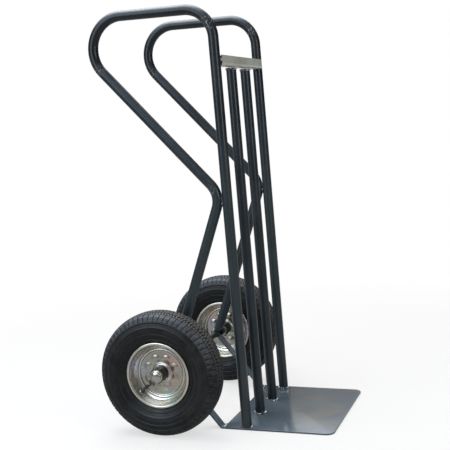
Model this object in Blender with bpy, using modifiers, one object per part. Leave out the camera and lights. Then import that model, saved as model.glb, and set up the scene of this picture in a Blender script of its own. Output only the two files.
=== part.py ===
"""Two-wheeled hand truck with looped side handles, a steel toe plate and air-filled tyres.

Metres, +Z up.  +X is the side that carries the load, +Y is the left hand of someone who stands
behind the truck.  The origin is on the floor, under the middle of the line of upright feet.
"""
import math

import bmesh
import bpy
from mathutils import Vector

# Fits
SEAT_GAP = 0.0003
MERGE_DISTANCE = 0.00001
CUT_OVERRUN = 0.010

# Round tube that the whole frame is bent from
TUBE_DIAMETER = 0.0286
TUBE_WALL = 0.0020
TUBE_RADIUS = TUBE_DIAMETER / 2

# Side frames: upright, looped handle, slanting stay and rear leg in one bent tube
UPRIGHT_SPACING = 0.380
UPRIGHT_LEAN = math.radians(2.0)
HANDLE_HEIGHT = 1.178
HANDLE_REACH = 0.412
FRONT_BEND_RADIUS = 0.082
LOOP_BEND_RADIUS = 0.090
LOWER_BEND_RADIUS = 0.065
LOWER_BEND_HEIGHT = 0.644

# Toe plate and the two straps that tie it to the axle
PLATE_THICKNESS = 0.005
PLATE_FRONT_REACH = 0.249
PLATE_REAR_REACH = 0.064
PLATE_CORNER_RADIUS = 0.024
STRAP_WIDTH = 0.030
STRAP_FOOT = 0.004
STRAP_BEND_RADIUS = 0.008

# Angle bar across the front of the uprights, its top a set drop below the handles' top
CROSSBAR_DROP = 0.141
CROSSBAR_FACE = 0.0275
CROSSBAR_SHEET = 0.003
CROSSBAR_BEND_RADIUS = 0.008
CROSSBAR_END_INSET = 0.009

# Axle and what holds a wheel on it
AXLE_DIAMETER = 0.016
AXLE_SETBACK = 0.214
AXLE_CHAMFER = 0.0010
AXLE_PAST_WASHER = 0.0040
SLEEVE_LENGTH = 0.0203
SLEEVE_DIAMETER = 0.027
WASHER_DIAMETER = 0.035
WASHER_THICKNESS = 0.0025
CAP_DIAMETER = 0.032
CAP_HEIGHT = 0.0078
CAP_SHEET = 0.0012
CAP_BRIM = 0.0020
CAP_DOME_SHARE = 0.55

# Tyre; the tread's grooves are given by near edge, bottom and far edge, in half tread widths
TYRE_DIAMETER = 0.350
TYRE_WIDTH = 0.100
TREAD_WIDTH = 0.078
TREAD_DEPTH = 0.0034
TREAD_DROP = 0.0085
TREAD_ZIGZAG = 0.0011
TREAD_GROOVE_SHARES = ((0.09, 0.13, 0.17), (0.40, 0.44, 0.48))
SHOULDER_STEP = 0.0070
SHOULDER_FALL = 0.0120
BEAD_WIDTH = 0.0124
TYRE_TREAD_WALL = 0.0115
TYRE_SIDE_WALL = 0.0062
TYRE_CROWN_SHARE = 0.42
TYRE_LOWER_SHARE = 0.80
TYRE_RADIUS = TYRE_DIAMETER / 2

# Pressed steel rim, made of two halves that meet in the middle of the wheel
RIM_SEAT_DIAMETER = 0.1524
RIM_FLANGE_DIAMETER = 0.186
RIM_WELL_DIAMETER = 0.138
RIM_WIDTH = 0.063
RIM_SEAT_WIDTH = 0.0155
RIM_SHEET = 0.0020
RIM_HUB_FLAT = 0.0050
FLANGE_FLARE = 0.0018
PETAL_COUNT = 8
PETAL_HEIGHT = 0.0038
PETAL_TURN = math.radians(22.5)
PETAL_RING_SHARES = (0.26, 0.70)

# Hub, bearings and valve
HUB_DIAMETER = 0.041
HUB_LENGTH = 0.080
HUB_WALL = 0.0055
BEARING_DIAMETER = 0.035
BEARING_WIDTH = 0.011
BEARING_SHIELD_DEPTH = 0.0006
BEARING_RING = 0.0027
TUBE_SKIN = 0.0020
TUBE_CLEARANCE = 0.0012
TUBE_NECK_CLEARANCE = 0.0048
TUBE_CROWN_SHARE = 0.31
VALVE_DIAMETER = 0.0105
VALVE_TIP_DIAMETER = 0.0062
VALVE_LENGTH = 0.034
VALVE_TIP_LENGTH = 0.0090
VALVE_BURIED = 0.0080
VALVE_CAP_WALL = 0.0015
VALVE_CAP_HEIGHT = 0.0118
VALVE_CAP_CHAMFER = 0.0006
VALVE_TILT = math.radians(78)
VALVE_TURN = math.radians(229)

# Fineness of the round shapes, in counts
TUBE_BEVEL_RESOLUTION = 4
BEND_STEP = math.radians(15)
TYRE_STEPS = 36
RIM_STEPS = 24
HUB_STEPS = 16
INNER_TUBE_STEPS = 16
SMALL_STEPS = 12
CORNER_STEPS = 6

# Angles past which an edge is chamfered or stays sharp
CHAMFER_FROM = math.radians(60)
SHARP_FROM = math.radians(35)

# Finishes: colour, roughness, metallic
FINISHES = {
    "slate_paint": ((0.022, 0.030, 0.038), 0.28, 0.0),
    "plate_paint": ((0.115, 0.145, 0.175), 0.30, 0.1),
    "bare_steel": ((0.390, 0.360, 0.280), 0.38, 0.8),
    "bright_plate": ((0.560, 0.550, 0.520), 0.18, 1.0),
    "zinc_plate": ((0.480, 0.480, 0.460), 0.32, 1.0),
    "black_steel": ((0.020, 0.022, 0.024), 0.45, 0.5),
    "tyre_rubber": ((0.014, 0.014, 0.014), 0.70, 0.0),
    "tube_rubber": ((0.020, 0.020, 0.021), 0.60, 0.0),
    "black_plastic": ((0.010, 0.010, 0.010), 0.40, 0.0),
}

# Places that follow from the sizes above
FRAME_HALF_WIDTH = UPRIGHT_SPACING / 2
PLATE_HALF_WIDTH = FRAME_HALF_WIDTH + TUBE_RADIUS
AXLE_RADIUS = AXLE_DIAMETER / 2
AXLE_CENTRE = Vector((-AXLE_SETBACK, TYRE_RADIUS))
WASHER_INSIDE = HUB_LENGTH / 2 + SEAT_GAP
WASHER_OUTSIDE = WASHER_INSIDE + WASHER_THICKNESS
CAP_INSIDE = WASHER_OUTSIDE + SEAT_GAP
SLEEVE_END = WASHER_OUTSIDE + SEAT_GAP
WHEEL_PLANE = PLATE_HALF_WIDTH + SEAT_GAP + SLEEVE_LENGTH + SLEEVE_END
BORE_RADIUS = AXLE_RADIUS + SEAT_GAP
CROSSBAR_TOP = HANDLE_HEIGHT - CROSSBAR_DROP
FOOT = Vector((0, PLATE_THICKNESS + SEAT_GAP))
UPRIGHT_ALONG = Vector((-math.sin(UPRIGHT_LEAN), math.cos(UPRIGHT_LEAN)))
UPRIGHT_BEHIND = Vector((-math.cos(UPRIGHT_LEAN), -math.sin(UPRIGHT_LEAN)))
SIDES = (("right", -1), ("left", 1))

for leftover in list(bpy.data.objects):
    bpy.data.objects.remove(leftover, do_unlink=True)

truck = bpy.data.collections.new("hand_truck")
bpy.context.scene.collection.children.link(truck)
cutters = bpy.data.collections.new("cutters")
bpy.context.scene.collection.children.link(cutters)


def make_material(name, colour, roughness, metallic):
    material = bpy.data.materials.new(name)
    material.use_nodes = True
    shader = material.node_tree.nodes["Principled BSDF"]
    shader.inputs["Base Color"].default_value = (*colour, 1)
    shader.inputs["Roughness"].default_value = roughness
    shader.inputs["Metallic"].default_value = metallic
    return material


def finish(obj, finish_name):
    """Give a piece its own material, in one of the truck's finishes."""
    colour, roughness, metallic = FINISHES[finish_name]
    material = make_material(obj.name + "_" + finish_name, colour, roughness, metallic)
    obj.data.materials.clear()
    obj.data.materials.append(material)
    return obj


def place(obj, collection=truck):
    collection.objects.link(obj)
    return obj


def as_mesh(obj):
    """Turn a curve, or a mesh with modifiers, into a plain mesh of the same name and place."""
    bpy.context.view_layer.update()
    evaluated = obj.evaluated_get(bpy.context.evaluated_depsgraph_get())
    mesh = bpy.data.meshes.new_from_object(evaluated)
    name, matrix = obj.name, obj.matrix_world.copy()
    bpy.data.objects.remove(obj, do_unlink=True)
    mesh_builder = bmesh.new()
    mesh_builder.from_mesh(mesh)
    bmesh.ops.remove_doubles(mesh_builder, verts=mesh_builder.verts, dist=MERGE_DISTANCE)
    mesh_builder.to_mesh(mesh)
    mesh_builder.free()
    plain = bpy.data.objects.new(name, mesh)
    plain.matrix_world = matrix
    return place(plain)


def round_off(obj):
    """Shade a round piece smooth, with its real corners kept sharp."""
    obj.data.shade_smooth()
    obj.data.set_sharp_from_angle(angle=SHARP_FROM)
    return obj


def make_cutter(obj):
    for home in list(obj.users_collection):
        home.objects.unlink(obj)
    cutters.objects.link(obj)
    obj.hide_render = True
    obj.display_type = "WIRE"
    return obj


def cut(obj, cutter):
    modifier = obj.modifiers.new("cut_" + cutter.name, "BOOLEAN")
    modifier.operation = "DIFFERENCE"
    modifier.object = cutter


def crosswise_rod(name, radius, length, centre):
    """A plain cylinder along Y, used as a cutter or as a blank."""
    bpy.ops.mesh.primitive_cylinder_add(vertices=HUB_STEPS, radius=radius, depth=length,
                                        location=centre, rotation=(math.pi / 2, 0, 0))
    rod = bpy.context.object
    rod.name = name
    for home in list(rod.users_collection):
        home.objects.unlink(rod)
    return place(rod)


def arc(centre, radius, start, end, steps):
    """Points of an arc in a plane, from one angle to another, both ends included."""
    turn = (end - start) / steps
    angles = [start + turn * step for step in range(steps + 1)]
    return [centre + radius * Vector((math.cos(angle), math.sin(angle))) for angle in angles]


def bend(centre, radius, start, end):
    return arc(centre, radius, start, end, math.ceil(abs(end - start) / BEND_STEP))


def angle_of(direction):
    return math.atan2(direction.y, direction.x)


def side_frame_path():
    """Centre line of a side frame in its own plane (x, z): foot, upright, handle, stay, rear leg.

    Every straight is the common tangent of the bends at its ends, and the lowest bend rests
    against the back of the upright, where the two are welded.
    """
    bar_height = HANDLE_HEIGHT - TUBE_RADIUS
    front_rise = bar_height - FRONT_BEND_RADIUS - FOOT.y - UPRIGHT_BEHIND.y * FRONT_BEND_RADIUS
    front_centre = (FOOT + UPRIGHT_ALONG * front_rise / UPRIGHT_ALONG.y
                    + UPRIGHT_BEHIND * FRONT_BEND_RADIUS)
    loop_x = TUBE_RADIUS + LOOP_BEND_RADIUS - HANDLE_REACH
    loop_centre = Vector((loop_x, bar_height - LOOP_BEND_RADIUS))
    lower_offset = LOWER_BEND_RADIUS + TUBE_DIAMETER + SEAT_GAP
    lower_rise = LOWER_BEND_HEIGHT - FOOT.y - UPRIGHT_BEHIND.y * lower_offset
    lower_centre = (FOOT + UPRIGHT_ALONG * lower_rise / UPRIGHT_ALONG.y
                    + UPRIGHT_BEHIND * lower_offset)

    down = lower_centre - loop_centre
    crossing = math.acos((LOOP_BEND_RADIUS + LOWER_BEND_RADIUS) / down.length)
    stay_angle = angle_of(down) - crossing
    to_axle = AXLE_CENTRE - lower_centre
    leg_angle = angle_of(to_axle) + math.acos(LOWER_BEND_RADIUS / to_axle.length)

    path = [FOOT]
    path += bend(front_centre, FRONT_BEND_RADIUS, UPRIGHT_LEAN, math.pi / 2)
    path += bend(loop_centre, LOOP_BEND_RADIUS, math.pi / 2, stay_angle + 2 * math.pi)
    path += bend(lower_centre, LOWER_BEND_RADIUS, stay_angle + math.pi, leg_angle)
    path.append(AXLE_CENTRE)
    return path


def bent_tube(name, path, side_place):
    """A hollow tube along a path in the plane y = side_place, its foot cut level with the floor."""
    curve = bpy.data.curves.new(name, "CURVE")
    curve.dimensions = "3D"
    curve.bevel_depth = TUBE_RADIUS
    curve.bevel_resolution = TUBE_BEVEL_RESOLUTION
    curve.use_fill_caps = False
    spline = curve.splines.new("POLY")
    spline.points.add(len(path) - 1)
    for point, (along, up) in zip(spline.points, path):
        point.co = (along, side_place, up, 1)
    tube = place(bpy.data.objects.new(name, curve))
    wall = tube.modifiers.new("wall", "SOLIDIFY")
    wall.thickness = TUBE_WALL
    wall.offset = -1
    tube = as_mesh(tube)
    for vertex in tube.data.vertices:
        if vertex.co.z < FOOT.y + TUBE_RADIUS:
            slide = (FOOT.y - vertex.co.z) / UPRIGHT_ALONG.y
            vertex.co.x += slide * UPRIGHT_ALONG.x
            vertex.co.z = FOOT.y
    return round_off(tube)


def flat_piece(name, outline, thickness):
    """A plate cut to a closed outline, lying in local XY, its thickness shared above and below."""
    curve = bpy.data.curves.new(name, "CURVE")
    curve.dimensions = "2D"
    curve.fill_mode = "BOTH"
    curve.extrude = thickness / 2
    spline = curve.splines.new("POLY")
    spline.points.add(len(outline) - 1)
    for point, (across, up) in zip(spline.points, outline):
        point.co = (across, up, 0, 1)
    spline.use_cyclic_u = True
    return place(bpy.data.objects.new(name, curve))


def turned_blank(name, profile, steps, closed=True):
    """Spin a profile of (radius, height) points round local Z.

    The points run down the outer side, so the faces point out of the metal.
    """
    mesh = bpy.data.meshes.new(name)
    count = len(profile)
    edges = [(index, index + 1) for index in range(count - 1)]
    if closed:
        edges.append((count - 1, 0))
    mesh.from_pydata([(radius, 0, height) for radius, height in profile], edges, [])
    blank = place(bpy.data.objects.new(name, mesh))
    spin = blank.modifiers.new("spin", "SCREW")
    spin.steps = steps
    spin.render_steps = steps
    spin.use_merge_vertices = True
    spin.merge_threshold = MERGE_DISTANCE
    return as_mesh(blank)


def turned(name, profile, steps, parent):
    piece = round_off(turned_blank(name, profile, steps))
    piece.parent = parent
    return piece


def ring_profile(inner, outer, low, high):
    return [(outer, high), (outer, low), (inner, low), (inner, high)]


def mirrored(half):
    """A profile that is the same on both sides of the wheel's middle plane, from its upper half."""
    return half + [(radius, -height) for radius, height in reversed(half)]


# Frame
side_path = side_frame_path()
side_tubes = {}
for side, sign in SIDES:
    side_tube = bent_tube("side_tube_" + side, side_path, sign * FRAME_HALF_WIDTH)
    saddle = make_cutter(crosswise_rod("saddle_" + side, BORE_RADIUS, TUBE_DIAMETER + CUT_OVERRUN,
                                       (AXLE_CENTRE.x, sign * FRAME_HALF_WIDTH, AXLE_CENTRE.y)))
    cut(side_tube, saddle)
    side_tubes[side] = finish(side_tube, "slate_paint")

crossbar_foot = (CROSSBAR_TOP - FOOT.y) / UPRIGHT_ALONG.y - CROSSBAR_FACE
inner_top = FOOT + UPRIGHT_ALONG * (crossbar_foot - SEAT_GAP)
for side, sign in SIDES:
    inner_upright = bent_tube("inner_upright_" + side, [FOOT, inner_top], sign * UPRIGHT_SPACING / 6)
    finish(inner_upright, "slate_paint")


def crossbar_outline():
    """Section of the angle bar, seen from the side: front face, rolled lower edge, flange."""
    back = TUBE_RADIUS + SEAT_GAP
    front = back + CROSSBAR_SHEET
    inner_bend = CROSSBAR_BEND_RADIUS - CROSSBAR_SHEET
    bend_centre = Vector((front - CROSSBAR_BEND_RADIUS, CROSSBAR_BEND_RADIUS))
    outline = [Vector((back, CROSSBAR_FACE)), Vector((front, CROSSBAR_FACE))]
    outline += arc(bend_centre, CROSSBAR_BEND_RADIUS, 0, -math.pi / 2, CORNER_STEPS)
    outline += [Vector((-TUBE_RADIUS, 0)), Vector((-TUBE_RADIUS, CROSSBAR_SHEET))]
    outline += arc(bend_centre, inner_bend, -math.pi / 2, 0, CORNER_STEPS)
    return outline


crossbar = flat_piece("top_crossbar", crossbar_outline(), UPRIGHT_SPACING - 2 * CROSSBAR_END_INSET)
crossbar_base = FOOT + UPRIGHT_ALONG * crossbar_foot
crossbar.location = (crossbar_base.x, 0, crossbar_base.y)
crossbar.rotation_euler = (math.pi / 2, -UPRIGHT_LEAN, 0)
crossbar = finish(as_mesh(crossbar), "bare_steel")
notch_inner = FRAME_HALF_WIDTH - TUBE_RADIUS - SEAT_GAP
notch_outer = FRAME_HALF_WIDTH + CUT_OVERRUN
notch_front = TUBE_RADIUS + SEAT_GAP
notch_back = -TUBE_RADIUS - CUT_OVERRUN
notch_top = CROSSBAR_FACE + CUT_OVERRUN
for side, sign in SIDES:
    notch_outline = [(notch_front, -CUT_OVERRUN), (notch_front, notch_top), (notch_back, notch_top),
                     (notch_back, -CUT_OVERRUN)]
    notch = flat_piece("notch_" + side, notch_outline, notch_outer - notch_inner)
    notch.location = (crossbar_base.x, sign * (notch_inner + notch_outer) / 2, crossbar_base.y)
    notch.rotation_euler = (math.pi / 2, -UPRIGHT_LEAN, 0)
    cut(crossbar, make_cutter(as_mesh(notch)))


def plate_outline():
    front = PLATE_FRONT_REACH - PLATE_CORNER_RADIUS
    edge = PLATE_HALF_WIDTH - PLATE_CORNER_RADIUS
    outline = [Vector((-PLATE_REAR_REACH, -PLATE_HALF_WIDTH))]
    outline += arc(Vector((front, -edge)), PLATE_CORNER_RADIUS, -math.pi / 2, 0, CORNER_STEPS)
    outline += arc(Vector((front, edge)), PLATE_CORNER_RADIUS, 0, math.pi / 2, CORNER_STEPS)
    outline.append(Vector((-PLATE_REAR_REACH, PLATE_HALF_WIDTH)))
    return outline


toe_plate = flat_piece("toe_plate", plate_outline(), PLATE_THICKNESS)
toe_plate.location.z = PLATE_THICKNESS / 2
finish(as_mesh(toe_plate), "plate_paint")


def strap_outline():
    """Side view of a strap: a short foot level with the plate, a bend, a straight to the axle."""
    middle = PLATE_THICKNESS / 2
    start = -PLATE_REAR_REACH - SEAT_GAP
    centre = Vector((start - STRAP_FOOT, middle + STRAP_BEND_RADIUS))
    to_axle = AXLE_CENTRE - centre
    lift_angle = angle_of(to_axle) + math.acos(STRAP_BEND_RADIUS / to_axle.length)
    last_angle = lift_angle - 2 * math.pi if lift_angle > 0 else lift_angle
    lift = Vector((math.sin(last_angle), -math.cos(last_angle)))
    side_step = Vector((math.cos(last_angle), math.sin(last_angle))) * middle
    top_end = AXLE_CENTRE - lift * BORE_RADIUS
    outer = arc(centre, STRAP_BEND_RADIUS + middle, -math.pi / 2, last_angle, CORNER_STEPS)
    inner = arc(centre, STRAP_BEND_RADIUS - middle, last_angle, -math.pi / 2, CORNER_STEPS)
    return ([Vector((start, 0))] + outer + [top_end + side_step, top_end - side_step] + inner
            + [Vector((start, PLATE_THICKNESS))])


for side, sign in SIDES:
    strap = flat_piece("axle_strap_" + side, strap_outline(), STRAP_WIDTH)
    strap.location.y = sign * (PLATE_HALF_WIDTH - STRAP_WIDTH / 2)
    strap.rotation_euler.x = math.pi / 2
    finish(as_mesh(strap), "plate_paint")


# Axle and the pieces that hold the wheels on it
axle_length = 2 * (WHEEL_PLANE + WASHER_OUTSIDE + AXLE_PAST_WASHER)
axle = crosswise_rod("axle", AXLE_RADIUS, axle_length, (AXLE_CENTRE.x, 0, AXLE_CENTRE.y))
ends = axle.modifiers.new("chamfer", "BEVEL")
ends.width = AXLE_CHAMFER
ends.segments = 1
ends.angle_limit = CHAMFER_FROM
finish(round_off(as_mesh(axle)), "black_steel")


def cap_profile():
    """A pressed cap with a low dome and a brim, hollow underneath, pushed over the axle's end."""
    outer = CAP_DIAMETER / 2
    crown = outer - CAP_BRIM
    top = CAP_INSIDE + CAP_HEIGHT
    brim_top = CAP_INSIDE + CAP_SHEET
    shoulder = (brim_top + top) / 2
    hollow = crown - CAP_SHEET
    dome = top - CAP_SHEET / 2
    return [(0, top), (crown * CAP_DOME_SHARE, dome), (crown, shoulder), (crown, brim_top),
            (outer, brim_top), (outer, CAP_INSIDE), (hollow, CAP_INSIDE), (hollow, shoulder - CAP_SHEET),
            (hollow * CAP_DOME_SHARE, dome - CAP_SHEET), (0, top - CAP_SHEET)]


# Wheels
CAVITY_FLANGE = RIM_WIDTH / 2
SEAT_RADIUS = RIM_SEAT_DIAMETER / 2
FLANGE_RADIUS = RIM_FLANGE_DIAMETER / 2
WELL_RADIUS = RIM_WELL_DIAMETER / 2
HUB_RADIUS = HUB_DIAMETER / 2
RIM_HALF_GAP = SEAT_GAP / 2
DISC_EDGE = HUB_RADIUS + SEAT_GAP
DISC_FLAT = DISC_EDGE + RIM_HUB_FLAT
PETAL_RINGS = [DISC_FLAT + (WELL_RADIUS - DISC_FLAT) * share for share in PETAL_RING_SHARES]


def rim_half(name):
    """One pressed half: flange, bead seat, sloping wall and a disc with raised petals."""
    seat_start = CAVITY_FLANGE - RIM_SEAT_WIDTH
    flange_top = CAVITY_FLANGE + FLANGE_FLARE
    profile = [(FLANGE_RADIUS, flange_top), (SEAT_RADIUS, CAVITY_FLANGE), (SEAT_RADIUS, seat_start),
               (WELL_RADIUS, RIM_HALF_GAP), (PETAL_RINGS[1], RIM_HALF_GAP), (PETAL_RINGS[0], RIM_HALF_GAP),
               (DISC_FLAT, RIM_HALF_GAP), (DISC_EDGE, RIM_HALF_GAP)]
    half = turned_blank(name, profile, RIM_STEPS, closed=False)
    for vertex in half.data.vertices:
        radius = math.hypot(vertex.co.x, vertex.co.y)
        if min(abs(radius - ring) for ring in PETAL_RINGS) < RIM_SHEET:
            angle = math.atan2(vertex.co.y, vertex.co.x) - PETAL_TURN
            vertex.co.z += PETAL_HEIGHT * max(0, math.cos(PETAL_COUNT * angle))
    pressing = half.modifiers.new("sheet", "SOLIDIFY")
    pressing.thickness = RIM_SHEET
    pressing.offset = -1
    return round_off(as_mesh(half))


def tread_line():
    """Half of the tread's surface from the middle outwards, with its grooves, as (radius, height)."""
    half_width = TREAD_WIDTH / 2
    line = []
    for near, bottom, far in TREAD_GROOVE_SHARES:
        for share, sink in ((near, 0), (bottom, TREAD_DEPTH), (far, 0)):
            line.append((TYRE_RADIUS - TREAD_DROP * share ** 3 - sink, half_width * share))
    line.append((TYRE_RADIUS - TREAD_DROP, half_width))
    return line


def tyre_profile():
    """Section of the tyre, open towards the rim between its two beads."""
    flange_gap = CAVITY_FLANGE - SEAT_GAP
    bead_low = SEAT_RADIUS + SEAT_GAP
    over_flange = FLANGE_RADIUS + TYRE_SIDE_WALL
    bulge = TYRE_WIDTH / 2
    bulge_radius = (FLANGE_RADIUS + TYRE_RADIUS) / 2 - TREAD_DROP / 2
    shoulder_radius, shoulder = tread_line()[-1]
    outside = tread_line() + [
        (shoulder_radius - SHOULDER_FALL, shoulder + SHOULDER_STEP), (bulge_radius, bulge),
        (over_flange, bulge * TYRE_LOWER_SHARE), (FLANGE_RADIUS, flange_gap), (bead_low, flange_gap)]
    inside = [(bead_low, flange_gap - BEAD_WIDTH), (bulge_radius, bulge - TYRE_SIDE_WALL),
              (TYRE_RADIUS - TYRE_TREAD_WALL, shoulder * TYRE_CROWN_SHARE)]
    half = [(radius, -height) for radius, height in outside]
    inner_half = [(radius, -height) for radius, height in inside]
    return ([(radius, -height) for radius, height in reversed(half)] + half + inner_half
            + [(radius, -height) for radius, height in reversed(inner_half)])


def make_tyre(name):
    """Turn the tyre, bend its middle grooves to a zigzag and press notches into both shoulders.

    The notches of one shoulder stand half a pitch from those of the other.
    """
    tyre = turned_blank(name, tyre_profile(), TYRE_STEPS)
    shoulder_radius, shoulder = tread_line()[-1]
    middle_radius, middle = tread_line()[2]
    for vertex in tyre.data.vertices:
        radius = math.hypot(vertex.co.x, vertex.co.y)
        step = round(math.atan2(vertex.co.y, vertex.co.x) / (2 * math.pi) * TYRE_STEPS)
        upper = 1 if vertex.co.z > 0 else 0
        if abs(vertex.co.z) < middle + MERGE_DISTANCE and radius > middle_radius - TREAD_DEPTH:
            vertex.co.z += TREAD_ZIGZAG * (1 if step % 2 else -1)
        if abs(radius - shoulder_radius) < MERGE_DISTANCE and (step + upper) % 2:
            keep_share = 1 - TREAD_DEPTH / radius
            vertex.co.x *= keep_share
            vertex.co.y *= keep_share
    return round_off(tyre)


def inner_tube_profile(skin):
    """Section of the inner tube, set in from the rim and the tyre, less a skin for its hollow."""
    low = WELL_RADIUS + TUBE_CLEARANCE + skin
    high = TYRE_RADIUS - TYRE_TREAD_WALL - TUBE_CLEARANCE - skin
    bulge = TYRE_WIDTH / 2 - TYRE_SIDE_WALL - TUBE_CLEARANCE - skin
    bulge_radius = (FLANGE_RADIUS + TYRE_RADIUS) / 2 - TREAD_DROP / 2
    neck = CAVITY_FLANGE - RIM_SEAT_WIDTH - TUBE_CLEARANCE - skin
    neck_radius = SEAT_RADIUS + TUBE_NECK_CLEARANCE + skin
    half = [(high, 0), (high - TREAD_DEPTH, -bulge * TUBE_CROWN_SHARE), (bulge_radius, -bulge),
            (neck_radius, -neck)]
    return [(radius, -height) for radius, height in reversed(half[1:])] + half + [(low, 0)]


VALVE_ALONG = Vector((-math.sin(VALVE_TILT), math.cos(VALVE_TILT)))
VALVE_WALL_POINT = Vector(((WELL_RADIUS + SEAT_RADIUS) / 2, (CAVITY_FLANGE - RIM_SEAT_WIDTH) / 2))
VALVE_ROOT = VALVE_WALL_POINT - VALVE_ALONG * VALVE_BURIED


def seat_on_valve_line(obj, parent):
    """Stand a piece that was made round local Z on the valve's line through the rim wall."""
    radial = Vector((math.cos(VALVE_TURN), math.sin(VALVE_TURN), 0))
    along = radial * VALVE_ALONG.x + Vector((0, 0, VALVE_ALONG.y))
    obj.parent = parent
    obj.location = radial * VALVE_ROOT.x + Vector((0, 0, VALVE_ROOT.y))
    obj.rotation_euler = along.to_track_quat("Z", "Y").to_euler()
    return obj


def valve_drill(name, radius, depth, parent):
    mesh = bpy.data.meshes.new(name)
    builder = bmesh.new()
    bmesh.ops.create_cone(builder, cap_ends=True, segments=SMALL_STEPS, radius1=radius, radius2=radius,
                          depth=depth)
    builder.to_mesh(mesh)
    builder.free()
    drill = place(bpy.data.objects.new(name, mesh))
    return make_cutter(seat_on_valve_line(drill, parent))


def valve_stem_profile():
    body = VALVE_DIAMETER / 2
    tip = VALVE_TIP_DIAMETER / 2
    shoulder = VALVE_LENGTH - VALVE_TIP_LENGTH
    return [(0, VALVE_LENGTH), (tip, VALVE_LENGTH), (tip, shoulder), (body, shoulder - TUBE_SKIN),
            (body, 0), (0, 0)]


def valve_cap_profile():
    bore = VALVE_TIP_DIAMETER / 2 + SEAT_GAP
    outer = bore + VALVE_CAP_WALL
    low = VALVE_LENGTH - VALVE_TIP_LENGTH + SEAT_GAP
    top = low + VALVE_CAP_HEIGHT
    bore_top = VALVE_LENGTH + SEAT_GAP
    return [(0, top), (outer - VALVE_CAP_CHAMFER, top), (outer, top - VALVE_CAP_CHAMFER), (outer, low),
            (bore, low), (bore, bore_top), (0, bore_top)]


def hub_profile():
    outer = HUB_RADIUS
    seat = BEARING_DIAMETER / 2 + SEAT_GAP
    bore = HUB_RADIUS - HUB_WALL
    end = HUB_LENGTH / 2
    seat_floor = end - SEAT_GAP - BEARING_WIDTH - SEAT_GAP
    return [(outer, end), (outer, -end), (seat, -end), (seat, -seat_floor), (bore, -seat_floor),
            (bore, seat_floor), (seat, seat_floor), (seat, end)]


def bearing_profile():
    outer = BEARING_DIAMETER / 2
    low, high = 0, BEARING_WIDTH
    rim, core = outer - BEARING_RING, BORE_RADIUS + BEARING_RING
    return [(outer, high), (outer, low), (BORE_RADIUS, low), (BORE_RADIUS, high), (core, high),
            (core, high - BEARING_SHIELD_DEPTH), (rim, high - BEARING_SHIELD_DEPTH), (rim, high)]


def wheel_axis(name, sign):
    """An empty on the axle, in the wheel's middle plane, its Z pointing away from the frame."""
    axis = place(bpy.data.objects.new(name, None))
    axis.location = (AXLE_CENTRE.x, sign * WHEEL_PLANE, AXLE_CENTRE.y)
    axis.rotation_euler.x = -sign * math.pi / 2
    return axis


def make_wheel(side, axis):
    finish(make_tyre("tyre_" + side), "tyre_rubber").parent = axis

    outer_half = finish(rim_half("rim_outer_half_" + side), "bright_plate")
    outer_half.parent = axis
    hole = valve_drill("valve_hole_" + side, VALVE_DIAMETER / 2 + SEAT_GAP, VALVE_LENGTH * 2, axis)
    cut(outer_half, hole)
    inner_half = finish(rim_half("rim_inner_half_" + side), "bright_plate")
    inner_half.parent = axis
    inner_half.rotation_euler.x = math.pi

    air_tube = turned_blank("inner_tube_" + side, inner_tube_profile(0), INNER_TUBE_STEPS)
    finish(air_tube, "tube_rubber").parent = axis
    hollow = turned_blank("tube_hollow_" + side, inner_tube_profile(TUBE_SKIN), INNER_TUBE_STEPS)
    make_cutter(hollow).parent = axis
    cut(air_tube, hollow)
    cut(air_tube, hole)

    finish(turned("hub_" + side, hub_profile(), HUB_STEPS, axis), "black_steel")
    for where, flip in (("outer", 1), ("inner", -1)):
        bearing = turned("bearing_" + where + "_" + side, bearing_profile(), HUB_STEPS, axis)
        bearing.location.z = flip * (HUB_LENGTH / 2 - BEARING_WIDTH - SEAT_GAP)
        bearing.rotation_euler.x = math.pi if flip < 0 else 0
        finish(bearing, "zinc_plate")

    stem = turned("valve_stem_" + side, valve_stem_profile(), SMALL_STEPS, axis)
    finish(seat_on_valve_line(stem, axis), "tube_rubber")
    cap = turned("valve_cap_" + side, valve_cap_profile(), SMALL_STEPS, axis)
    finish(seat_on_valve_line(cap, axis), "black_plastic")


def hold_wheel(side, sign):
    """Sleeve and washers that space the wheel on the axle, and the cap on the axle's end."""
    axis = wheel_axis("axle_end_" + side, sign)
    washer = WASHER_DIAMETER / 2
    outer_ring = ring_profile(BORE_RADIUS, washer, WASHER_INSIDE, WASHER_OUTSIDE)
    inner_ring = ring_profile(BORE_RADIUS, washer, -WASHER_OUTSIDE, -WASHER_INSIDE)
    sleeve_start = -SLEEVE_END - SLEEVE_LENGTH
    sleeve_ring = ring_profile(BORE_RADIUS, SLEEVE_DIAMETER / 2, sleeve_start, -SLEEVE_END)
    finish(turned("outer_washer_" + side, outer_ring, HUB_STEPS, axis), "zinc_plate")
    finish(turned("inner_washer_" + side, inner_ring, HUB_STEPS, axis), "zinc_plate")
    finish(turned("spacer_sleeve_" + side, sleeve_ring, HUB_STEPS, axis), "black_steel")
    finish(turned("axle_cap_" + side, cap_profile(), HUB_STEPS, axis), "bright_plate")


for side, sign in SIDES:
    make_wheel(side, wheel_axis("wheel_axis_" + side, sign))
    hold_wheel(side, sign)
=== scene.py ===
import math

import bmesh
import bpy
from mathutils import Euler, Matrix, Vector


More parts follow.
